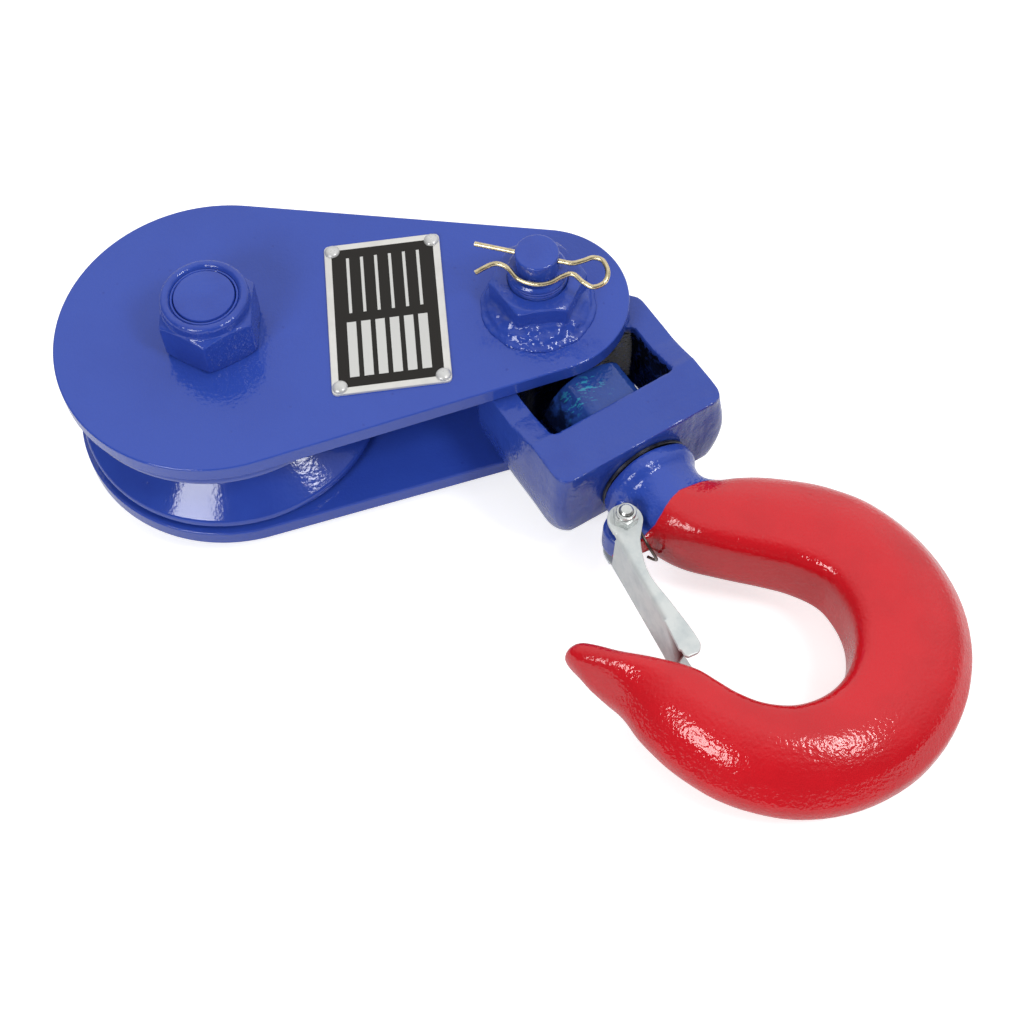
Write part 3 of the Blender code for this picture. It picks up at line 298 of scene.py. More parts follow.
def platedSteel(name, colour, dull, rough, spots, stain, metal=1.0, shaded=None):
    made, tree, shader, where = newFinish(name)
    cloud = noiseAt(tree, where, spots, 5.0, 0.62)
    grain = noiseAt(tree, where, 900.0, 2.0)
    tone = mixColour(tree, remap(tree, cloud, 0.42, 0.66, 0.0, stain), colour, dull)
    if shaded is not None:
        tone = mixColour(tree, shaded(tree, where), tone, slit["colour"])
    normal = bump(tree, grain, 0.000018, bump(tree, cloud, 0.00006))
    gloss = remap(tree, noiseAt(tree, where, spots * 1.7, 3.0), 0.3, 0.7, *rough)
    shade(tree, shader, base_color=tone, roughness=gloss, metallic=metal, normal=normal)
    return made


def plainFinish(name, colour, roughness, metallic=0.0, ior=1.45):
    made, tree, shader, where = newFinish(name)
    shade(tree, shader, base_color=colour, roughness=roughness, metallic=metallic, ior=ior)
    return made


def slitShade(tree, where):
    # Painted shade beside the latch's slit, tinted dark red as a painted reflection of the hook, wider towards the
    # tip
    along, up = (measured(tree, where, latchSpace, axis) for axis in (0, 2))
    run = remap(tree, along, slit["from"], slit["to"], 0.0, 1.0)
    lower = calc(tree, "SUBTRACT", slit["top"], calc(tree, "MULTIPLY", run, slit["spread"]))
    wedge = remap(tree, calc(tree, "SUBTRACT", up, lower), 0.0, slit["soft"], 0.0, 1.0)
    wedge = calc(tree, "MULTIPLY", wedge, remap(tree, up, slit["top"] - 0.1, slit["top"] + 0.1, 1.0, 0.0))
    return calc(tree, "MULTIPLY", wedge, remap(tree, run, 0.0, 0.3, 0.0, 1.0))


bluePaint = blueEnamel("blueEnamel")
flatBluePaint = blueEnamel("flatBlueEnamel", 0.35, 0.7, 0.14, (0.05, 0.10))
wheelPaint = blueEnamel("wheelEnamel", 0.10, 0.35, 0.3, (0.08, 0.15))
lockNutPaint = lockNutEnamel()
yokePaint = yokeEnamel()
nutPaint = nutEnamel()
redPaint = hookEnamel()
zincPlate = platedSteel("zincPlate", (0.66, 0.69, 0.68), (0.49, 0.54, 0.55), (0.34, 0.48), 110.0, 0.8, 0.22,
                        slitShade)
zincScrews = platedSteel("zincScrews", (0.66, 0.68, 0.67), (0.34, 0.36, 0.36), (0.22, 0.36), 200.0, 0.8)
springSteel = platedSteel("springSteel", (0.22, 0.20, 0.18), (0.08, 0.07, 0.06), (0.30, 0.42), 300.0, 0.8)
rivetZinc = platedSteel("rivetZinc", (0.66, 0.66, 0.65), (0.50, 0.50, 0.49), (0.26, 0.38), 260.0, 0.5, 0.35)
yellowZinc = platedSteel("yellowZinc", (0.74, 0.63, 0.40), (0.42, 0.36, 0.22), (0.18, 0.32), 300.0, 0.6)
brightSteel = platedSteel("brightSteel", (0.62, 0.62, 0.60), (0.35, 0.34, 0.32), (0.20, 0.35), 300.0, 0.5)
darkSteel = platedSteel("darkSteel", (0.10, 0.10, 0.11), (0.03, 0.03, 0.035), (0.30, 0.45), 300.0, 0.8)
bronzeBush = platedSteel("bronzeBush", (0.55, 0.33, 0.13), (0.30, 0.17, 0.07), (0.28, 0.42), 200.0, 0.6)
plateBorder = platedSteel("plateBorder", (0.74, 0.73, 0.70), (0.60, 0.59, 0.56), (0.30, 0.42), 90.0, 0.5, 0.3)
plateField = plainFinish("plateField", (0.013, 0.011, 0.009), 0.30, ior=1.33)
plateMarks = plainFinish("plateMarks", (0.62, 0.62, 0.60), 0.40)
print("finishes made")


# Small tools for shapes

def asObject(name, shape):
    mesh = bpy.data.meshes.new(name)
    shape.to_mesh(mesh)
    shape.free()
    made = bpy.data.objects.new(name, mesh)
    scene.collection.objects.link(made)
    return made


def bake(piece):
    bpy.context.view_layer.update()
    old = piece.data
    piece.data = bpy.data.meshes.new_from_object(piece.evaluated_get(bpy.context.evaluated_depsgraph_get()))
    piece.modifiers.clear()
    bpy.data.meshes.remove(old)
    return piece


def loft(name, rings, closed=False):
    shape = bmesh.new()
    rows = [[shape.verts.new(point) for point in ring] for ring in rings]
    pairs = list(zip(rows, rows[1:])) + ([(rows[-1], rows[0])] if closed else [])
    for near, far in pairs:
        for i in range(len(near)):
            j = (i + 1) % len(near)
            shape.faces.new((near[i], near[j], far[j], far[i]))
    if not closed:
        shape.faces.new(list(reversed(rows[0])))
        shape.faces.new(rows[-1])
    bmesh.ops.recalc_face_normals(shape, faces=shape.faces)
    return asObject(name, shape)


def turned(name, profile, steps=96):
    # profile is a closed loop of (radius, height)
    shape = bmesh.new()
    rows = []
    for i in range(steps):
        angle = 2 * math.pi * i / steps
        rows.append([shape.verts.new((r * math.cos(angle), r * math.sin(angle), h)) for r, h in profile])
    for i in range(steps):
        near, far = rows[i], rows[(i + 1) % steps]
        for j in range(len(profile)):
            k = (j + 1) % len(profile)
            if profile[j][0] > 0 or profile[k][0] > 0:
                shape.faces.new((near[j], near[k], far[k], far[j]))
    bmesh.ops.remove_doubles(shape, verts=shape.verts, dist=0.0001)
    bmesh.ops.dissolve_degenerate(shape, edges=shape.edges, dist=0.0001)
    bmesh.ops.recalc_face_normals(shape, faces=shape.faces)
    return asObject(name, shape)


def slab(name, outline, bottom, top):
    return loft(name, [[(x, y, bottom) for x, y in outline], [(x, y, top) for x, y in outline]])


def prism(name, radius, bottom, top, sides, turnDeg=0.0):
    angles = [math.radians(turnDeg + 360 * i / sides) for i in range(sides)]
    return slab(name, [(radius * math.cos(a), radius * math.sin(a)) for a in angles], bottom, top)


def combine(target, tool, operation="DIFFERENCE"):
    step = target.modifiers.new("combine", "BOOLEAN")
    step.object = tool
    step.operation = operation
    step.solver = "EXACT"
    bake(target)
    bpy.data.objects.remove(tool)
    return target


def bevelled(piece, width, segments=3, angleDeg=40.0):
    step = piece.modifiers.new("bevel", "BEVEL")
    step.width = width
    step.segments = segments
    step.limit_method = "ANGLE"
    step.angle_limit = math.radians(angleDeg)
    return bake(piece)


def softened(piece, voxel, rounds):
    # Melts the edges together, as thick paint over a forging does
    step = piece.modifiers.new("melt", "REMESH")
    step.mode = "VOXEL"
    step.voxel_size = voxel
    step = piece.modifiers.new("even", "SMOOTH")
    step.factor = 0.5
    step.iterations = rounds
    return bake(piece)


def lumpy(piece, layers, where=None):
    # layers are (feature size, height) in millimetres
    mesh = piece.data
    moves = []
    for vertex in mesh.vertices:
        push = sum(height * noise.noise(vertex.co / size) for size, height in layers)
        moves.append(vertex.co + vertex.normal * push * (where(vertex.co) if where else 1.0))
    for vertex, spot in zip(mesh.vertices, moves):
        vertex.co = spot
    return piece


def arc(centre, radius, startDeg, endDeg, count):
    angles = [math.radians(startDeg + (endDeg - startDeg) * i / count) for i in range(count + 1)]
    return [(centre[0] + radius * math.cos(a), centre[1] + radius * math.sin(a)) for a in angles]


def smoothPath(points, perSpan):
    padded = [points[0], *points, points[-1]]
    path = []
    for i in range(1, len(padded) - 2):
        for step in range(perSpan):
            t = step / perSpan
            path.append(tuple(
                0.5 * (2 * b + (c - a) * t + (2 * a - 5 * b + 4 * c - d) * t * t + (3 * b - a - 3 * c + d) * t ** 3)
                for a, b, c, d in zip(*padded[i - 1:i + 3])))
    path.append(tuple(points[-1]))
    return path


def roundedLoop(corners, radii, count=8):
    points = []
    total = len(corners)
    for i in range(total):
        here = Vector(corners[i])
        before = (Vector(corners[i - 1]) - here).normalized()
        after = (Vector(corners[(i + 1) % total]) - here).normalized()
        reach = radii[i] / math.tan(before.angle(after) / 2)
        start, end = here + before * reach, here + after * reach
        for step in range(count + 1):
            t = step / count
            points.append(tuple(start * (1 - t) ** 2 + here * 2 * t * (1 - t) + end * t * t))
    return points


def finished(piece, space, body, finish, nodes=(), angleDeg=35.0):
    # Brings a piece from its own space to its place, shades it and hands it to the frame
    mesh = piece.data
    mesh.transform(space)
    mesh.materials.clear()
    mesh.materials.append(finish)
    mesh.shade_smooth()
    mesh.set_sharp_from_angle(angle=math.radians(angleDeg))
    shape = bmesh.new()
    shape.from_mesh(mesh)
    for edge in shape.edges:
        if len(edge.link_faces) == 2:
            one, two = (face.calc_area() for face in edge.link_faces)
            if max(one, two) > 15 * min(one, two) and edge.calc_face_angle(0.0) > 0.06:
                edge.smooth = False
    shape.to_mesh(mesh)
    shape.free()
    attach(piece, body)
    if nodes:
        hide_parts(*nodes)
    return piece


# Geometry Nodes shared by the wires, the thread and the rivets

def newTree(name, inputs):
    tree = bpy.data.node_groups.new(name, "GeometryNodeTree")
    tree.interface.new_socket("Geometry", in_out="INPUT", socket_type="NodeSocketGeometry")
    for label, kind in inputs:
        tree.interface.new_socket(label, in_out="INPUT", socket_type=kind)
    tree.interface.new_socket("Geometry", in_out="OUTPUT", socket_type="NodeSocketGeometry")
    return tree, addNode(tree, "NodeGroupInput").outputs


def endTree(tree, geometry, finish):
    real = addNode(tree, "GeometryNodeRealizeInstances", {0: geometry})
    coated = addNode(tree, "GeometryNodeSetMaterial", {"Geometry": real.outputs[0], "Material": finish})
    addNode(tree, "NodeGroupOutput", {0: coated.outputs[0]})


def runTree(piece, tree, values):
    step = piece.modifiers.new(tree.name, "NODES")
    step.node_group = tree
    for item in tree.interface.items_tree:
        if item.in_out == "INPUT" and item.name in values:
            step[item.identifier] = values[item.name]
    return bake(piece)


def wirePiece(name, path, radius, finish, sides=14):
    tree, given = newTree(name + "Wire", [("Radius", "NodeSocketFloat"), ("Sides", "NodeSocketInt")])
    line = addNode(tree, "GeometryNodeMeshToCurve", {0: given["Geometry"]})
    ring = addNode(tree, "GeometryNodeCurvePrimitiveCircle",
                   {"Resolution": given["Sides"], "Radius": given["Radius"]})
    tube = addNode(tree, "GeometryNodeCurveToMesh", {"Curve": line.outputs[0], "Profile Curve": ring.outputs[0],
                                                     "Fill Caps": True})
    endTree(tree, tube.outputs[0], finish)
    shape = bmesh.new()
    verts = [shape.verts.new(point) for point in path]
    for near, far in zip(verts, verts[1:]):
        shape.edges.new((near, far))
    return runTree(asObject(name, shape), tree, {"Radius": radius, "Sides": sides})


# Side plates: flat bar with two round ends, its edges softened by paint

plates = {"bigRadius": 58.8, "frontSmall": 32.0, "rearSmall": 35.5, "smallAt": 119.4, "thickness": 6.9, "gap": 38.6,
          "edge": 0.7, "bore": 12.3, "smallBore": 11.3}


def plateOutline(small, inset):
    lean = math.degrees(math.asin((plates["bigRadius"] - small) / plates["smallAt"]))
    touch = 90 - lean
    return (arc((0, 0), plates["bigRadius"] - inset, touch, 360 - touch, 120)
            + arc((plates["smallAt"], 0), small - inset, -touch, touch, 72))


def sidePlate(name, small, bottom, node):
    edge = plates["edge"]
    rings = []
    quarter = [math.radians(22.5 * i) for i in range(5)]
    for a in quarter:
        rings.append((edge * (1 - math.sin(a)), bottom + edge * (1 - math.cos(a))))
    for a in reversed(quarter):
        rings.append((edge * (1 - math.sin(a)), bottom + plates["thickness"] - edge * (1 - math.cos(a))))
    plate = loft(name, [[(x, y, z) for x, y in plateOutline(small, inset)] for inset, z in rings])
    for x, radius in ((0.0, plates["bore"]), (boltSpacing, plates["smallBore"])):
        bore = prism("bore", radius, bottom - 1, bottom + plates["thickness"] + 1, 64)
        bore.data.transform(Matrix.Translation((x, 0, 0)))
        combine(plate, bore)
    return finished(plate, blockSpace, "block_frame", flatBluePaint, [node])


sidePlate("frontPlate", plates["frontSmall"], -plates["thickness"], "front_side_plate")
sidePlate("rearPlate", plates["rearSmall"], -2 * plates["thickness"] - plates["gap"], "rear_side_plate")
print("side plates made")


# Sheave: rounded rims and a rope groove with a round tread

sheave = {"radius": 57.15, "halfWidth": 17.5, "rim": 3.8, "rimRound": 1.5, "grooveAt": 50.0, "grooveRadius": 7.0,
          "flankDeg": 47.0, "bore": 16.2}


def makeSheave():
    outer, half, edge = sheave["radius"], sheave["halfWidth"], sheave["rimRound"]
    mouth = half - sheave["rim"]
    upper = [(sheave["bore"], half - 0.6), (sheave["bore"] + 0.6, half)]
    upper += arc((outer - edge, half - edge), edge, 90, 0, 5)
    upper += [(outer, mouth + 0.8), (outer - 0.25, mouth + 0.2), (outer - 0.8, mouth - 0.3)]
    for i in range(12):
        angle = math.radians(sheave["flankDeg"] * (1 - i / 11.5))
        upper.append((sheave["grooveAt"] - sheave["grooveRadius"] * math.cos(angle),
                      sheave["grooveRadius"] * math.sin(angle)))
    lower = [(r, -h) for r, h in reversed(upper)]
    wheel = turned("sheaveWheel", upper + lower, 160)
    finished(wheel, sheaveSpace, "sheave_body", wheelPaint, ["sheave"])


makeSheave()
for nodeName, finish in (("sheave_bush", bronzeBush), ("front_thrust_washer", darkSteel),
                         ("rear_thrust_washer", darkSteel), ("grease_nipple", brightSteel)):
    cadNodes[nodeName].data.materials[0] = finish
print("sheave made")


# Hexagons with turned corners, for nuts and heads

def hexagon(name, acrossFlats, bottom, top, cornerDeg, chamfers="both", turnedRadius=None):
    corner = acrossFlats / math.sqrt(3)
    body = prism(name, corner, bottom, top, 6, cornerDeg)
    outer = turnedRadius or corner + 1.0
    drop = (outer - acrossFlats / 2) * math.tan(math.radians(30))
    flat = acrossFlats / 2
    if chamfers == "bottom":
        profile = [(0, top + 1), (outer, top + 1)]
    else:
        profile = [(0, top), (flat, top), (outer, top - drop)]
    if chamfers == "top":
        profile += [(outer, bottom - 1), (0, bottom - 1)]
    else:
        profile += [(outer, bottom + drop), (flat, bottom), (0, bottom)]
    return combine(body, turned("corners", profile, 96), "INTERSECT")


# Centre bolt and its lock nut, whose collar holds a nylon ring

lockNut = {"acrossFlats": 33.0, "seat": 0.0, "hexTop": 17.5, "top": 22.8, "collar": 16.0, "cornerDeg": 25.4,
           "nylonOuter": 14.4, "lip": 12.4, "roll": 1.8, "bore": 12.15, "seatDrop": 2.6, "seatDepth": 2.0}
centreBolt = {"radius": 12.0, "endRadius": 11.0, "end": 22.2}
heads = {"acrossFlats": 36.0, "seat": -52.4, "face": -67.4, "well": 6.2, "wellDepth": 8.5}


def makeLockNut():
    top, collar, roll, lip = lockNut["top"], lockNut["collar"], lockNut["roll"], lockNut["lip"]
    nut = hexagon("centreLockNut", lockNut["acrossFlats"], lockNut["seat"], lockNut["hexTop"], lockNut["cornerDeg"])
    profile = [(0, top - 1.0)] + arc((collar - roll, top - roll), roll, 180, 0, 14) + [(collar, 12.0), (0, 12.0)]
    combine(nut, turned("collar", profile, 96), "UNION")
    softened(nut, 0.42, 3)
    outer, seat = lockNut["nylonOuter"], top - lockNut["seatDrop"]
    floor = seat - lockNut["seatDepth"]
    profile = [(0, top + 1), (lip, top + 1), (lip, seat), (outer, seat), (outer, floor), (lockNut["bore"], floor),
               (lockNut["bore"], -1), (0, -1)]
    combine(nut, turned("bore", profile, 96))
    finished(nut, blockSpace, "block_frame", lockNutPaint, ["centre_lock_nut"])
    outer -= 0.1
    ring = turned("nylonRing", [
        (11.3, seat - 0.1), (11.3, top - 1.5), (11.55, top - 1.2), (12.05, top - 1.2), (lip - 0.12, top - 1.5),
        (lip - 0.12, seat - 0.1), (outer, seat - 0.1), (outer, floor + 0.1), (12.2, floor + 0.1), (12.2, seat - 0.5)],
        96)
    finished(ring, blockSpace, "block_frame", bluePaint, ["nylon_insert"])


def boltHead(name):
    return hexagon(name, heads["acrossFlats"], heads["face"], heads["seat"], 0.0, "bottom")


def makeCentreBolt():
    end, thin, thick = centreBolt["end"], centreBolt["endRadius"], centreBolt["radius"]
    bolt = boltHead("centreBolt")
    profile = [(0, end + 0.15), (6.0, end + 0.1), (thin - 0.7, end - 0.05), (thin - 0.2, end - 0.2),
               (thin, end - 0.6), (thin, end - 2.4),
               (thick, end - 3.2), (thick, heads["face"] + 5), (0, heads["face"] + 5)]
    combine(bolt, turned("shank", profile, 96), "UNION")
    combine(bolt, prism("well", heads["well"], heads["face"] - 1, heads["face"] + heads["wellDepth"], 48))
    finished(bolt, blockSpace, "block_frame", bluePaint, ["centre_bolt"])


makeLockNut()
makeCentreBolt()
print("centre bolt made")


# Yoke bolt: its thread shows above the weld nut, then a thinner end with a cross hole

yokeBolt = {"radius": 11.0, "rootRadius": 10.0, "pitch": 1.5, "threadFrom": 12.5, "threadTop": 19.0, "endRadius": 7.9,
            "top": 27.8, "holeAt": 25.0, "holeRadius": 1.3, "holeTurnDeg": -21.5, "turns": 3.4, "depth": 0.8}


def threadTree():
    tree, given = newTree("boltThread", [("Radius", "NodeSocketFloat"), ("Pitch", "NodeSocketFloat"),
                                         ("Turns", "NodeSocketFloat"), ("Depth", "NodeSocketFloat")])
    height = calc(tree, "MULTIPLY", given["Pitch"], given["Turns"])
    helix = addNode(tree, "GeometryNodeCurveSpiral", {"Resolution": 72, "Rotations": given["Turns"],
                                                      "Start Radius": given["Radius"], "End Radius": given["Radius"],
                                                      "Height": height})
    ridge = addNode(tree, "GeometryNodeCurvePrimitiveCircle", {"Resolution": 6, "Radius": given["Depth"]})
    swept = addNode(tree, "GeometryNodeCurveToMesh", {"Curve": helix.outputs[0], "Profile Curve": ridge.outputs[0],
                                                      "Fill Caps": True})
    joined = addNode(tree, "GeometryNodeJoinGeometry", {0: swept.outputs[0]})
    tree.links.new(given["Geometry"], joined.inputs[0])
    endTree(tree, joined.outputs[0], bluePaint)
    return tree


def makeYokeBolt():
    b = yokeBolt
    bolt = boltHead("yokeBolt")
    profile = [(0, b["threadFrom"]), (b["radius"], b["threadFrom"]), (b["radius"], heads["face"] + 5),
               (0, heads["face"] + 5)]
    combine(bolt, turned("shank", profile, 96), "UNION")
    finished(bolt, boltSpace, "block_frame", bluePaint, ["yoke_bolt"])
    top, end = b["top"], b["endRadius"]
    profile = [(0, top), (end - 1.0, top)] + arc((end - 0.8, top - 0.8), 0.8, 75, 0, 4)
    profile += [(end, b["threadTop"] + 0.5), (end + 0.5, b["threadTop"]), (b["radius"] - 1.0, b["threadTop"]),
                (b["radius"] - 0.2, b["threadTop"] - 0.7),
                (b["radius"] - 0.2, b["threadTop"] - 1.6), (b["rootRadius"] + 0.2, b["threadTop"] - 2.3),
                (b["rootRadius"], b["threadFrom"] - 1), (0, b["threadFrom"] - 1)]
    tip = turned("yokeBoltEnd", profile, 96)
    hole = prism("hole", b["holeRadius"], -20, 20, 20)
    turn = Matrix.Rotation(math.radians(b["holeTurnDeg"]), 4, "Z") @ Matrix.Rotation(math.radians(90), 4, "Y")
    hole.data.transform(Matrix.Translation((0, 0, b["holeAt"])) @ turn)
    combine(tip, hole)
    finished(tip, boltSpace, "block_frame", bluePaint)
    values = {"Radius": b["rootRadius"] + 0.1, "Pitch": b["pitch"], "Turns": b["turns"], "Depth": b["depth"]}
    thread = runTree(asObject("yokeBoltThread", bmesh.new()), threadTree(), values)
    thread.data.transform(Matrix.Translation((0, 0, b["threadFrom"] + 0.2)))
    finished(thread, boltSpace, "block_frame", bluePaint, angleDeg=60)


makeYokeBolt()
print("yoke bolt made")


# Weld nut: hexagon with a hand-laid bead round its foot

weldNut = {"acrossFlats": 31.0, "height": 13.5, "weldHeight": 6.0, "toe": 21.0, "swell": 3.0, "swellDeg": -98.0,
           "wave": 0.16, "lump": 0.55, "bore": 11.15}


def makeWeldNut():
    w = weldNut
    nut = hexagon("weldNut", w["acrossFlats"], 0.0, w["height"], 0.0, "top")
    shoulder = w["acrossFlats"] / 2
    rows = []
    for i in range(144):
        deg = 2.5 * i
        a = math.radians(deg)
        toe = w["toe"] + w["swell"] * math.cos(math.radians(deg - w["swellDeg"]))
        toe += w["wave"] * (math.sin(11 * a) + 0.6 * math.sin(17 * a + 0.7))
        lump = 0.3 * math.sin(13 * a)
        section = [(9.0, -0.3), (toe, -0.3), (toe - 0.15, 0.6), ((toe * 0.7 + shoulder * 0.3), 1.9),
                   ((toe + shoulder) / 2 + 0.6, w["weldHeight"] * 0.52 + lump),
                   (shoulder + 1.4, w["weldHeight"] * 0.86 + lump), (shoulder - 1.2, w["weldHeight"]),
                   (9.0, w["weldHeight"])]
        rows.append([(r * math.cos(a), r * math.sin(a), z) for r, z in section])
    combine(nut, loft("weldBead", rows, closed=True), "UNION")
    softened(nut, 0.42, 3)

    def onBead(spot):
        facing = math.cos(math.atan2(spot.y, spot.x) - math.radians(w["swellDeg"]))
        share = 0.12 + 0.88 * max(0.0, min(1.0, (facing - 0.2) / 0.4))
        return share * max(0.0, min(1.0, (w["weldHeight"] + 1.5 - spot.z) / 2.5)) * (1.0 if spot.z > 0.3 else 0.2)

    lumpy(nut, [(3.2, w["lump"]), (1.5, w["lump"] * 0.35)], onBead)
    combine(nut, prism("bore", w["bore"], -1, w["height"] + 1, 72))
    finished(nut, boltSpace, "block_frame", bluePaint, ["weld_nut"])


makeWeldNut()
print("weld nut made")


# Hairpin clip: one leg through the bolt, the other sprung round it

hairpin = {"radius": 0.9, "turnDeg": -21.5, "droopDeg": 18.0, "holeAt": 25.0, "legBack": 22.9,
           "bends": [(13.0, -0.2), (16.5, -1.9), (19.5, -3.7), (23.0, -3.4), (25.8, 0.2), (25.6, 4.3), (22.2, 6.8),
                     (18.3, 5.8), (14.0, 3.7),
                     (10.4, 5.4), (6.8, 8.5), (1.8, 10.1), (-4.2, 9.5), (-8.6, 6.6), (-12.2, 5.5), (-15.3, 6.4),
                     (-20.0, 10.5)]}


def makeHairpin():
    turn, droop = math.radians(hairpin["turnDeg"]), math.radians(hairpin["droopDeg"])
    along = Vector((math.cos(turn), math.sin(turn), 0))
    side = Vector((math.sin(turn) * math.cos(droop), -math.cos(turn) * math.cos(droop), -math.sin(droop)))
    run = [(-hairpin["legBack"] + 4.0 * i, 0.0) for i in range(9)]
    path = [Vector((0, 0, hairpin["holeAt"])) + along * u + side * w for u,
            w in smoothPath(run + hairpin["bends"], 12)]
    clip = wirePiece("hairpinClip", path, hairpin["radius"], yellowZinc, 16)
    finished(clip, boltSpace, "block_frame", yellowZinc, ["hairpin_clip"], 50)


makeHairpin()


# Name plate: a dark panel with a silver border, and on it ruled lines with a blank field beside each

namePlate = {"width": 43.0, "length": 66.4, "thickness": 1.0, "centre": (62.9, 0.2), "turnDeg": 1.5, "corner": 2.3,
             "skew": 0.032, "border": 2.6, "rivetInset": 3.0,
             "rows": [13.0, 7.8, 2.6, -2.6, -7.8, -13.0], "lineWidth": 1.1, "lineFrom": 26.5, "lineTo": 1.5,
             "fieldHeight": 3.4, "fieldFrom": -2.5, "fieldTo": -26.5,
             "edge": 0.25, "panelCorner": 2.2, "panelLift": 0.04, "markLift": 0.07}


def onNamePlate():
    skew = Matrix(((1, namePlate["skew"], 0, 0), (0, 1, 0, 0), (0, 0, 1, 0), (0, 0, 0, 1)))
    turn = Matrix.Rotation(math.radians(namePlate["turnDeg"]), 4, "Z")
    return blockSpace @ Matrix.Translation((*namePlate["centre"], 0)) @ turn @ skew


def plateLoop(inset, corner):
    x, y = namePlate["width"] / 2 - inset, namePlate["length"] / 2 - inset
    return roundedLoop([(-x, -y), (x, -y), (x, y), (-x, y)], 4 * (corner,), 6)


def makeNamePlate():
    top = namePlate["thickness"]
    place = onNamePlate()
    edge, corner = namePlate["edge"], namePlate["corner"]
    levels = [(0.0, 0.02), (0.0, top - edge), (edge * 0.3, top - edge * 0.3), (edge, top)]
    rings = [(plateLoop(inset, corner), z) for inset, z in levels]
    base = loft("namePlate", [[(x, y, z) for x, y in loop] for loop, z in rings])
    finished(base, place, "block_frame", plateBorder, ["nameplate"])
    outline = plateLoop(namePlate["border"], namePlate["panelCorner"])
    panel = slab("namePlateField", outline, top - 0.1, top + namePlate["panelLift"])
    finished(panel, place, "block_frame", plateField)
    shape = bmesh.new()
    line, field = namePlate["lineWidth"] / 2, namePlate["fieldHeight"] / 2
    marks = [(row - line, namePlate["lineTo"], row + line, namePlate["lineFrom"]) for row in namePlate["rows"]]
    marks += [(row - field, namePlate["fieldTo"], row + field, namePlate["fieldFrom"]) for row in namePlate["rows"]]
    for x0, y0, x1, y1 in marks:
        spots = ((x0, y0), (x1, y0), (x1, y1), (x0, y1))
        corners = [shape.verts.new((x, y, top + namePlate["markLift"])) for x, y in spots]
        face = shape.faces.new(corners)
        sides = bmesh.ops.extrude_face_region(shape, geom=[face])
        low = [item for item in sides["geom"] if isinstance(item, bmesh.types.BMVert)]
        bmesh.ops.translate(shape, verts=low, vec=(0, 0, -0.06))
    bmesh.ops.recalc_face_normals(shape, faces=shape.faces)
    finished(asObject("namePlateMarks", shape), place, "block_frame", plateMarks)


# Drive rivets: one tree sets the same dome at all four corners

rivets = {"headRadius": 2.8, "headHeight": 1.5, "segments": 32}


def makeRivets():
    tree, given = newTree("driveRivets", [("Head Radius", "NodeSocketFloat"), ("Head Height", "NodeSocketFloat"),
                                          ("Segments", "NodeSocketInt")])
    ball = addNode(tree, "GeometryNodeMeshUVSphere", {"Segments": given["Segments"], "Rings": 16,
                                                      "Radius": given["Head Radius"]})
    flat = calc(tree, "DIVIDE", given["Head Height"], given["Head Radius"])
    size = addNode(tree, "ShaderNodeCombineXYZ", {"X": 1.0, "Y": 1.0, "Z": flat})
    dome = addNode(tree, "GeometryNodeTransform", {"Geometry": ball.outputs[0], "Scale": size.outputs[0]})
    spots = addNode(tree, "GeometryNodeMeshToPoints", {0: given["Geometry"]})
    placed = addNode(tree, "GeometryNodeInstanceOnPoints", {"Points": spots.outputs[0], "Instance": dome.outputs[0]})
    endTree(tree, placed.outputs[0], rivetZinc)
    shape = bmesh.new()
    x, y = namePlate["width"] / 2 - namePlate["rivetInset"], namePlate["length"] / 2 - namePlate["rivetInset"]
    for spot in ((-x, y), (x, y), (x, -y), (-x, -y)):
        shape.verts.new((*spot, namePlate["thickness"]))
    values = {"Head Radius": rivets["headRadius"], "Head Height": rivets["headHeight"],
              "Segments": rivets["segments"]}
    domes = runTree(asObject("driveRivets", shape), tree, values)
    finished(domes, onNamePlate(), "block_frame", rivetZinc,
             ["rivet_1", "rivet_2", "rivet_3", "rivet_4"], 60)


makeNamePlate()
makeRivets()
print("name plate and rivets made")


# Yoke: a swelling billet with a window, a hub, and thick paint that has run on its front

yoke = {"front": 69.7, "draft": 6.0, "depth": 19.5, "height": 44.0, "width": 73.0, "edgeWidth": 68.4, "arm": 11.0,
        "corner": 5.6, "lowRound": 7.4,
        "taperStart": 14.5, "slopeStart": 36.0, "hub": 17.5, "hubGap": 0.6, "edgeRound": 1.8, "voxel": 0.62,
        "windowSide": 24.5, "windowBack": (20.5, 15.0), "windowRound": 2.0, "boltBore": 11.3, "shankBore": 14.0}


def yokeLoop(half, front, corner):
    y = yoke
    corners = [(front, -half), (front, half), (y["taperStart"], half), (-6.1, 16.1), (-6.1, -16.1),
               (y["taperStart"], -half)]
    return roundedLoop(corners, (corner, corner, *4 * (y["corner"],)), 8)


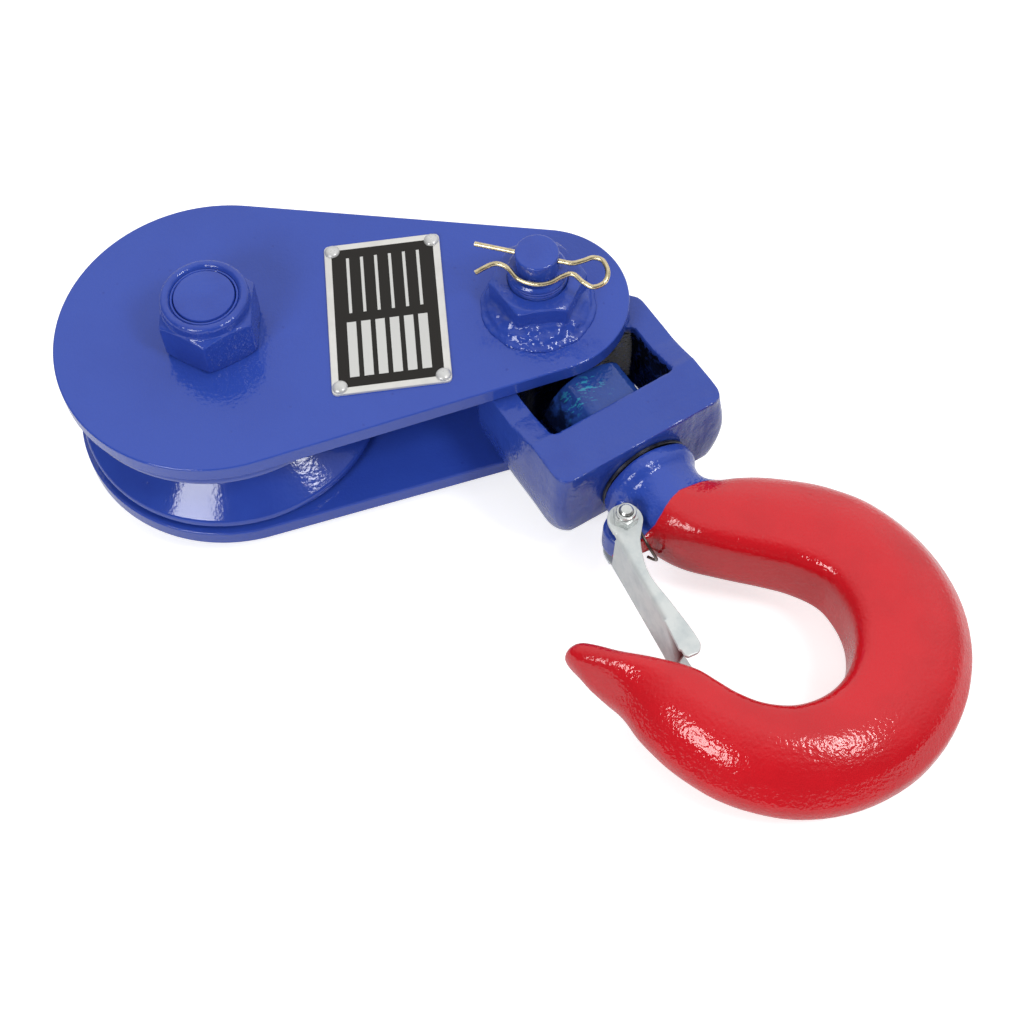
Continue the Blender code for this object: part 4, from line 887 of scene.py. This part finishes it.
def makeYoke():
    y = yoke
    high, half, edge = y["height"] / 2, y["width"] / 2, y["edgeWidth"] / 2
    low, corner, front = y["lowRound"], y["corner"], y["front"]
    levels = [(-high - 0.1, edge - low * 0.8, front - low * 0.9, corner + low * 0.4),
              (-high + low * 0.25, edge - low * 0.2, front - low * 0.4, corner + low * 0.7),
              (-high + low, edge + 1.0, front - low * 0.1, corner + low * 0.6),
              (-high * 0.3, half, front, corner + low * 0.3),
              (high * 0.2, half, front, corner), (high + 0.1, edge, front, corner)]
    levels = smoothPath(levels, 4)
    rings = [[(px, py, z) for px, py in yokeLoop(across, nose, radius)] for z, across, nose, radius in levels]
    body = loft("yokeForging", rings)
    slope, back = plates["gap"] / 2 - 1.2, front - y["depth"]
    nose = front + y["draft"]
    upper = [(nose, high), (back - 0.5, high), (back - 3.0, high - 1.0), (y["slopeStart"], slope), (-35.0, slope)]
    lower = [(px, -py) for px, py in reversed(upper[1:])]
    lowNose = [(front - low, -high), (front - low * 0.5, -high + low * 0.35), (front - low * 0.16, -high + low)]
    side = slab("side", upper + lower + lowNose + [(nose, 0.0)], -y["width"], y["width"])
    side.data.transform(Matrix.Rotation(math.radians(90), 4, "X"))
    combine(body, side, "INTERSECT")
    bevelled(body, y["edgeRound"], 4)
    across = half - y["arm"]
    sideAt, (backAt, narrow) = y["windowSide"], y["windowBack"]
    corners = [(back, -across), (back, across), (sideAt, across),
               (backAt, narrow), (backAt, -narrow), (sideAt, -across)]
    window = slab("window", roundedLoop(corners, 6 * (y["windowRound"],), 6), -high - 1, high + 1)
    combine(body, window)
    hubHalf = plates["gap"] / 2 - y["hubGap"]
    combine(body, prism("hub", y["hub"], -hubHalf, hubHalf, 72), "UNION")
    softened(body, y["voxel"], 3)

    def run(spot):
        return 1.0 if spot.x > 30 else 0.25

    lumpy(body, [(16.0, 0.24), (7.0, 0.12)], run)
    combine(body, prism("boltBore", y["boltBore"], -high - 2, high + 2, 72))
    bore = prism("shankBore", y["shankBore"], back - 4, front + 8, 72)
    bore.data.transform(Matrix.Rotation(math.radians(90), 4, "Y"))
    combine(body, bore)
    finished(body, yokeSpace, "yoke_body", yokePaint, ["yoke"])


makeYoke()
print("yoke made")


# Hook: turned shank and collar, then a forged bowl with a trapezoid section

hook = {"bowlAt": 155.0, "half": 16.0, "voxel": 0.70, "lump": 0.06, "collarAt": 71.6, "collarHeight": 4.2,
        "collar": 18.3, "neck": 15.4, "neckAt": 83.0, "shank": 12.5}
# edge inside, outside above and below, crown inside and outside, share cut off a corner
roundSection = (0.4142, 0.4142, 0.4142, 0.4142, 0.4142, 0.25)
forgedSection = (0.64, 0.04, 0.45, 0.76, 0.24, 0.09)
noseSection = (0.64, -0.14, 0.60, 0.76, 0.30, 0.09)
backSection = (0.64, 0.16, 0.50, 0.76, 0.50, 0.09)


def hookSection(inner, outer, half, edgeIn, edgeOut, edgeLow, crownIn, crownOut, share):
    middle, out, up = (inner + outer) / 2, (outer - inner) / 2, Vector((0, 0, half))
    corners = [-out - up * edgeIn, -out + up * edgeIn, -out * crownIn + up, out * crownOut + up,
               out + up * edgeOut, out - up * edgeLow, out * crownOut - up, -out * crownIn - up]
    crisp = share * 0.7 + 0.075
    shares = [crisp, crisp, 0.2, 0.36, share, 0.22, 0.25, 0.2]
    for cutting in range(3):
        cut = []
        for i in range(len(corners)):
            j = (i + 1) % len(corners)
            here, there = corners[i], corners[j]
            cut += [here.lerp(there, shares[i]), there.lerp(here, shares[j])]
        corners = cut
        shares = len(corners) * [0.25]
    return [middle + corner for corner in corners]


def hookStations():
    half, neck, at = hook["half"], hook["neck"], hook["neckAt"]
    back = [(at, -neck, at, neck, neck, *roundSection),
            (90.5, -15.0, 86.0, 17.2, 15.6, 0.48, 0.36, 0.42, 0.50, 0.36, 0.22),
            (98.5, -11.8, 88.0, 21.6, half, 0.56, 0.24, 0.46, 0.62, 0.30, 0.16)]
    for inner, outer in (((106.5, -5.8), (90.7, 27.8)), ((116.0, 3.0), (94.8, 35.6)), ((126.0, 13.0), (100.8, 43.5)),
                         ((134.0, 20.0), (109.9, 52.9)), ((143.0, 25.0), (123.6, 62.0))):
        back.append((*inner, *outer, half, *backSection))
    bowl = []
    for deg, near, far in ((98, 25.7, 68.2), (78, 24.0, 66.7), (57, 22.8, 64.7), (35, 22.2, 62.6), (13, 22.4, 61.0),
                           (-9, 22.8, 59.5), (-31, 23.7, 58.6), (-53, 24.8, 57.6), (-72, 26.2, 57.3),
                           (-88, 28.4, 58.2)):
        c, s = math.cos(math.radians(deg)), math.sin(math.radians(deg))
        share = max(0.0, min(1.0, (deg + 31) / 88))
        section = [low + (high - low) * share for low, high in zip(forgedSection, backSection)]
        bowl.append((hook["bowlAt"] + near * c, near * s, hook["bowlAt"] + far * c, far * s, half, *section))
    point = [(150.0, -31.0, 145.5, -58.8, 15.2, *forgedSection), (143.2, -36.0, 136.8, -60.2, 13.8, *noseSection),
             (136.2, -41.5, 129.7, -62.2, 12.0, 0.58, -0.10, 0.58, 0.66, 0.36, 0.12),
             (129.2, -47.5, 124.8, -63.6, 9.8, 0.52, 0.28, 0.46, 0.56, 0.34, 0.18),
             (122.8, -51.8, 120.6, -64.5, 8.0, *roundSection), (119.0, -55.2, 117.8, -64.2, 6.0, *roundSection),
             (116.8, -57.4, 116.2, -61.8, 2.8, *roundSection)]
    return back + bowl + point


def makeHook():
    h = hook
    swell = h["collarAt"] + h["collarHeight"]
    rings = []
    for along, radius in ((30.0, h["shank"] - 1.0), (31.0, h["shank"]), (h["collarAt"], h["shank"]),
                          (h["collarAt"], h["collar"] - 0.6),
                          (h["collarAt"] + 0.6, h["collar"]), (swell, h["collar"]), (swell + 1.4, h["collar"] - 0.9),
                          (swell + 3.2, h["neck"] + 0.7)):
        rings.append(hookSection(Vector((along, -radius, 0)), Vector((along, radius, 0)), radius, *roundSection))
    for values in smoothPath(hookStations(), 5):
        rings.append(hookSection(Vector((values[0], values[1], 0)), Vector((values[2], values[3], 0)), *values[4:]))
    body = loft("hookForging", rings)
    lug = slab("lug", arc((87.6, -20.6), 7.3, -160, 0, 28) + [(95.9, -11.4), (75.2, -11.4)], -5.5, 5.5)
    bevelled(lug, 1.2, 3)
    combine(body, lug, "UNION")
    softened(body, h["voxel"], 3)
    lumpy(body, [(22.0, h["lump"] * 2), (8.0, h["lump"])], lambda spot: 1.0 if spot.x > 84 else 0.0)
    finished(body, hookSpace, "hook_body", redPaint, ["hook"])


def makeHookNut():
    nut = hexagon("hookNut", 34.4, 30.6, 49.9, 25.0, "both", 18.9)
    softened(nut, 0.45, 3)
    combine(nut, prism("bore", 12.7, 20, 60, 72))
    finished(nut, shankSpace, "hook_body", nutPaint, ["hook_nut"])
    washer = turned("hookWasher", [(12.8, 70.0), (17.6, 70.0), (17.8, 70.2), (17.8, 71.1), (17.6, 71.3),
                                   (12.8, 71.3)], 96)
    finished(washer, shankSpace, "yoke_body", darkSteel, ["hook_thrust_washer"])


makeHook()
makeHookNut()
print("hook made")


# Latch: folded sheet with two ears, and a web that is slit near its tip

latch = {"half": 11.0, "sheet": 1.5, "ear": 6.3, "length": 56.7, "slitAt": 41.5, "webStart": 5.0, "tipBend": 0.7,
         "tipAlong": 53.3, "fold": 2.2, "dent": 2.6, "dentReach": 9.0, "eye": 2.8,
         "inner": [(9.3, 1.1), (16.6, -1.4), (24.5, -2.4), (36.9, -0.7), (51.5, 0.8), (55.4, -0.1), (56.7, -1.8)]}


def makeLatch():
    t = latch
    web, top, sheet = -t["ear"], t["half"], t["sheet"]
    strip = [(t["webStart"], web), (t["slitAt"], web), (t["tipAlong"], web - t["tipBend"]),
             (t["tipAlong"], web - t["tipBend"] + sheet),
             (t["slitAt"], web + sheet), (t["webStart"] + 1.0, web + sheet)]
    body = slab("latchSheet", strip, -top, top)
    flange = arc((0, 0), t["ear"], 270, 60, 32) + smoothPath(t["inner"], 6)
    flange += [(t["length"], web + 0.8), (t["length"] - 0.8, web)]
    for bottom in (top - sheet, -top):
        combine(body, slab("ear", flange, bottom, bottom + sheet), "UNION")
    fold = t["fold"]
    for sign, end in ((1, t["slitAt"] - 0.5), (-1, t["tipAlong"] + 1)):
        curve = arc((web + fold, top - fold), fold, 180, 90, 8)
        corner = [(web - 1, top + 1), (web - 1, top - fold), *curve, (web + fold, top + 1)]
        cutter = loft("fold", [[(x, py, pz * sign) for py, pz in corner] for x in (t["webStart"] - 1.5, end)])
        combine(body, cutter)
    softened(body, 0.30, 3)
    # The web is pressed in beside the slit, more towards the tip
    inner = top - sheet
    for vertex in body.data.vertices:
        spot = vertex.co
        run = min(1.0, max(0.0, (spot.x - t["slitAt"]) / (t["tipAlong"] - t["slitAt"])))
        if run > 0 and spot.y < web + sheet + 0.3 and spot.z < inner:
            reach = t["dentReach"] * run
            spot.y += t["dent"] * run * max(0.0, min(1.0, (spot.z - (inner - reach)) / reach))
    combine(body, prism("eye", t["eye"], -20, 20, 32))
    finished(body, latchSpace, "latch_body", zincPlate, ["latch"])


def makeLatchBolt():
    top = latch["half"]
    bolt = hexagon("latchBolt", 8.0, -top - 3.8, -top, 10.0, "bottom")
    profile = [(0, top + 6.3), (1.9, top + 6.3), (2.5, top + 5.7), (2.5, -top - 1), (0, -top - 1)]
    combine(bolt, turned("pin", profile, 48), "UNION")
    finished(bolt, pinSpace, "hook_body", zincScrews, ["latch_bolt"])
    nut = hexagon("latchNut", 8.0, top, top + 3.8, 95.0)
    profile = [(0, top + 5.3), (3.0, top + 5.3), (3.4, top + 5.1), (3.6, top + 4.6), (3.6, top + 2), (0, top + 2)]
    combine(nut, turned("collar", profile, 48), "UNION")
    combine(nut, prism("bore", 2.7, top - 1, top + 8, 32))
    finished(nut, pinSpace, "hook_body", zincScrews, ["latch_nut"])


spring = {"wire": 0.55, "coil": 3.7, "turns": 1.75, "pitch": 1.3, "startDeg": 90.0,
          "leg": [(8.9, 5.3, -6.6), (10.2, 7.0, -8.0), (11.8, 6.9, -6.0), (12.9, 5.7, -2.2), (11.9, 3.5, 4.0),
                  (8.8, 2.7, 7.2), (3.5, 3.5, 7.0)]}


def makeSpring():
    low = 5.5 + 0.3 + spring["wire"]
    coil = []
    steps = round(spring["turns"] * 40)
    for i in range(steps + 1):
        turns = spring["turns"] * i / steps
        a = 2 * math.pi * turns + math.radians(spring["startDeg"])
        coil.append((spring["coil"] * math.cos(a), spring["coil"] * math.sin(a), low + spring["pitch"] * turns))
    coiled = wirePiece("latchSpring", smoothPath(spring["leg"], 6) + coil, spring["wire"], springSteel, 12)
    finished(coiled, pinSpace, "hook_body", springSteel, ["latch_spring"], 50)


makeLatch()
makeLatchBolt()
makeSpring()
print("latch made")


# Stage, camera and lights

studio = {
    "camera": (87.16765, -409.42566, 559.08410),
    "right": (0.9944186, -0.0995965, -0.0348177),
    "down": (-0.1036753, -0.8611886, -0.4975998),
    "lens": 66.5687,
    "sky": 1.0,
    "horizon": 0.08,
    "bright": (0.25, 0.55, 0.80),
    "brightFrom": (0.12, 0.80),
    "floor": (0.80, 0.80, 0.80),
    "floorLift": (0.66, 0.24),  # for what the camera sees, and for reflections
    "darkAt": (34.0, 0.0, 0.0),
    "darkOffset": (0.011, 0.033),
    "darkRadii": (0.022, 0.034),
    # name, azimuth from the front towards the hook, elevation, distance, width, height, watts
    "boxes": [("leftBox", -41.0, 32.0, 1.1, 0.40, 0.32, 4.6), ("rightBox", 44.0, 51.0, 1.1, 0.20, 0.36, 3.8)],
}


def makeStage():
    bpy.ops.mesh.primitive_plane_add(size=8.0, location=(0, 0, 0))
    floor = bpy.context.object
    floor.name = "studioFloor"
    paper, tree, shader, where = newFinish("floorPaper")
    shade(tree, shader, base_color=studio["floor"], roughness=0.9)
    path = addNode(tree, "ShaderNodeLightPath")
    mirrored = calc(tree, "MAXIMUM", path.outputs["Is Glossy Ray"], path.outputs["Is Transmission Ray"])
    lift = calc(tree, "ADD", calc(tree, "MULTIPLY", path.outputs["Is Camera Ray"], studio["floorLift"][0]),
                calc(tree, "MULTIPLY", mirrored, studio["floorLift"][1]))
    # No lift right under the yoke, so that its window stays dark
    below = (*((yokeSpace @ Vector(studio["darkAt"])).xy + Vector(studio["darkOffset"])), 0.0)
    away = addNode(tree, "ShaderNodeVectorMath", {0: where, 1: below}, operation="DISTANCE").outputs["Value"]
    lift = calc(tree, "MULTIPLY", lift, remap(tree, away, *studio["darkRadii"], 0.0, 1.0))
    tree.links.new(lift, shader.inputs["Emission Strength"])
    shader.inputs["Emission Color"].default_value = (1, 1, 1, 1)
    floor.data.materials.append(paper)


def makeWorld():
    world = bpy.data.worlds.new("studioWorld")
    scene.world = world
    world.use_nodes = True
    tree = world.node_tree
    # Bright above and behind, dark low in front: that is what deepens the paint on faces that look at the viewer
    direction = addNode(tree, "ShaderNodeTexCoord").outputs["Generated"]
    facing = addNode(tree, "ShaderNodeVectorMath", {0: direction, 1: studio["bright"]},
                     operation="DOT_PRODUCT").outputs["Value"]
    ceiling = remap(tree, facing, *studio["brightFrom"], studio["horizon"], studio["sky"])
    path = addNode(tree, "ShaderNodeLightPath")
    light = tree.nodes["Background"]
    light.inputs["Color"].default_value = (1, 1, 1, 1)
    tree.links.new(calc(tree, "MAXIMUM", ceiling, path.outputs["Is Camera Ray"]), light.inputs["Strength"])


def makeLights():
    target = Vector((0.03, 0.0, 0.04))
    for name, azimuth, elevation, distance, width, height, watts in studio["boxes"]:
        a, e = math.radians(azimuth), math.radians(elevation)
        toward = Vector((math.sin(a) * math.cos(e), -math.cos(a) * math.cos(e), math.sin(e)))
        lamp = bpy.data.lights.new(name, "AREA")
        lamp.shape = "RECTANGLE"
        lamp.size = width
        lamp.size_y = height
        lamp.energy = watts
        made = bpy.data.objects.new(name, lamp)
        scene.collection.objects.link(made)
        made.location = target + toward * distance
        made.rotation_euler = toward.to_track_quat("Z", "Y").to_euler()


def makeCamera():
    turn = (blockSpace @ Matrix.Scale(1000, 4)).to_3x3()
    right, down = turn @ Vector(studio["right"]), turn @ Vector(studio["down"])
    view = Matrix((right, -down, right.cross(-down))).transposed().to_4x4()
    view.translation = blockSpace @ Vector(studio["camera"])
    lens = bpy.data.cameras.new("studioCamera")
    lens.lens = studio["lens"]
    lens.sensor_width = 36.0
    lens.clip_start = 0.01
    camera = bpy.data.objects.new("studioCamera", lens)
    scene.collection.objects.link(camera)
    camera.matrix_world = view
    scene.camera = camera


makeStage()
makeWorld()
makeLights()
makeCamera()
print("studio made")
